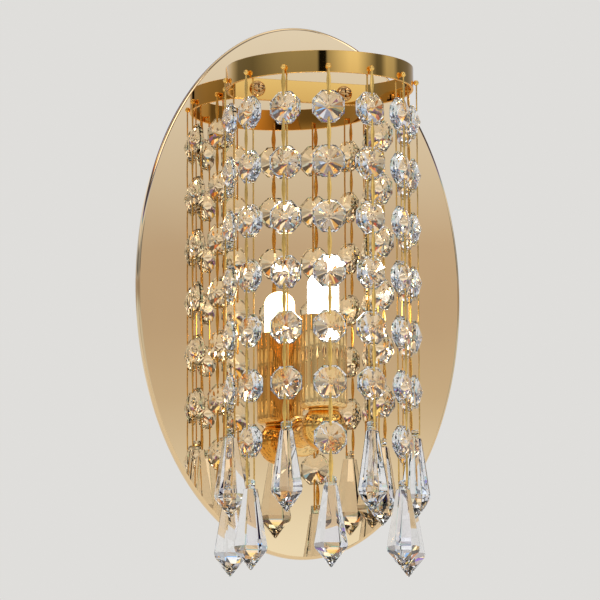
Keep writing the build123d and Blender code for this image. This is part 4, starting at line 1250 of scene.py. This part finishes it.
def photo_camera():
    """The camera at the photograph's place, straight lens, no shift."""
    camera = bpy.data.cameras.new("Photo camera")
    camera.lens = CAMERA_LENS
    camera.sensor_width = CAMERA_SENSOR
    camera.clip_start = 0.05
    camera.clip_end = 50.0
    level = cos(CAMERA_PITCH)
    forward = Vector((sin(CAMERA_YAW) * level, cos(CAMERA_YAW) * level, sin(CAMERA_PITCH)))
    right = Vector((cos(CAMERA_YAW), -sin(CAMERA_YAW), 0))
    up = right.cross(forward)
    tilted_right = right * cos(CAMERA_ROLL) + up * sin(CAMERA_ROLL)
    tilted_up = up * cos(CAMERA_ROLL) - right * sin(CAMERA_ROLL)
    holder = bpy.data.objects.new("Photo camera", camera)
    matrix = Matrix((tilted_right, tilted_up, -forward)).transposed().to_4x4()
    holder.matrix_world = Matrix.Translation(CAMERA_PLACE) @ matrix
    bpy.context.scene.collection.objects.link(holder)
    bpy.context.scene.camera = holder


class SCONCE_OT_stage(bpy.types.Operator):
    """Sets the floor, the soft lights, the pale room and the camera"""

    bl_idname = "sconce.stage"
    bl_label = "Stage"

    def execute(self, context):
        backdrop = chosen(context, "backdrop")
        deselect()
        bpy.ops.mesh.primitive_plane_add(size=2 * FLOOR_REACH, location=(0, 0, FLOOR_HEIGHT))
        floor = context.object
        floor.name = "floor"
        finish = Finish("pale floor")
        finish.colours(finish.noise(1.5), (0.3, tint(backdrop, 0.99)), (0.7, tint(backdrop, 1.01)))
        finish.set(Roughness=0.8)
        floor.data.materials.append(finish.material)
        studio_world(backdrop)
        for light in LIGHTS:
            softbox(*light)
        photo_camera()
        context.scene.view_settings.view_transform = "Standard"
        return {"FINISHED"}


class SCONCE_PT_panel(bpy.types.Panel):
    """Lists the sconce's pieces, sizes and finishes"""

    bl_idname = "SCONCE_PT_panel"
    bl_label = "Crystal wall sconce"
    bl_space_type = "VIEW_3D"
    bl_region_type = "UI"
    bl_category = "Sconce"

    def draw(self, context):
        layout = self.layout
        for operator in OPERATORS:
            layout.operator(operator.bl_idname)
        for settings in (context.scene.sconce_sizes, context.scene.sconce_finishes):
            column = layout.column()
            for name in settings.bl_rna.properties.keys():
                if name not in ("rna_type", "name"):
                    column.prop(settings, name)


OPERATORS = (
    SCONCE_OT_plate,
    SCONCE_OT_tray,
    SCONCE_OT_ring,
    SCONCE_OT_ring_screws,
    SCONCE_OT_octagons,
    SCONCE_OT_links,
    SCONCE_OT_drops,
    SCONCE_OT_lamp,
    SCONCE_OT_bulb,
    SCONCE_OT_hardware,
    SCONCE_OT_stage,
)
CLASSES = (SconceSizes, SconceFinishes, *OPERATORS, SCONCE_PT_panel)


def register():
    """Registers the classes and hangs the settings on the scene."""
    for cls in CLASSES:
        bpy.utils.register_class(cls)
    bpy.types.Scene.sconce_sizes = bpy.props.PointerProperty(type=SconceSizes)
    bpy.types.Scene.sconce_finishes = bpy.props.PointerProperty(type=SconceFinishes)


def unregister():
    """Takes the settings and the classes away."""
    del bpy.types.Scene.sconce_finishes
    del bpy.types.Scene.sconce_sizes
    for cls in reversed(CLASSES):
        bpy.utils.unregister_class(cls)


def main():
    """Makes every piece in order."""
    register()
    bpy.ops.sconce.plate()
    bpy.ops.sconce.tray()
    bpy.ops.sconce.ring()
    bpy.ops.sconce.ring_screws()
    bpy.ops.sconce.octagons()
    bpy.ops.sconce.links()
    bpy.ops.sconce.drops()
    bpy.ops.sconce.lamp()
    bpy.ops.sconce.bulb()
    bpy.ops.sconce.hardware()
    bpy.ops.sconce.stage()


if __name__ == "__main__":
    main()
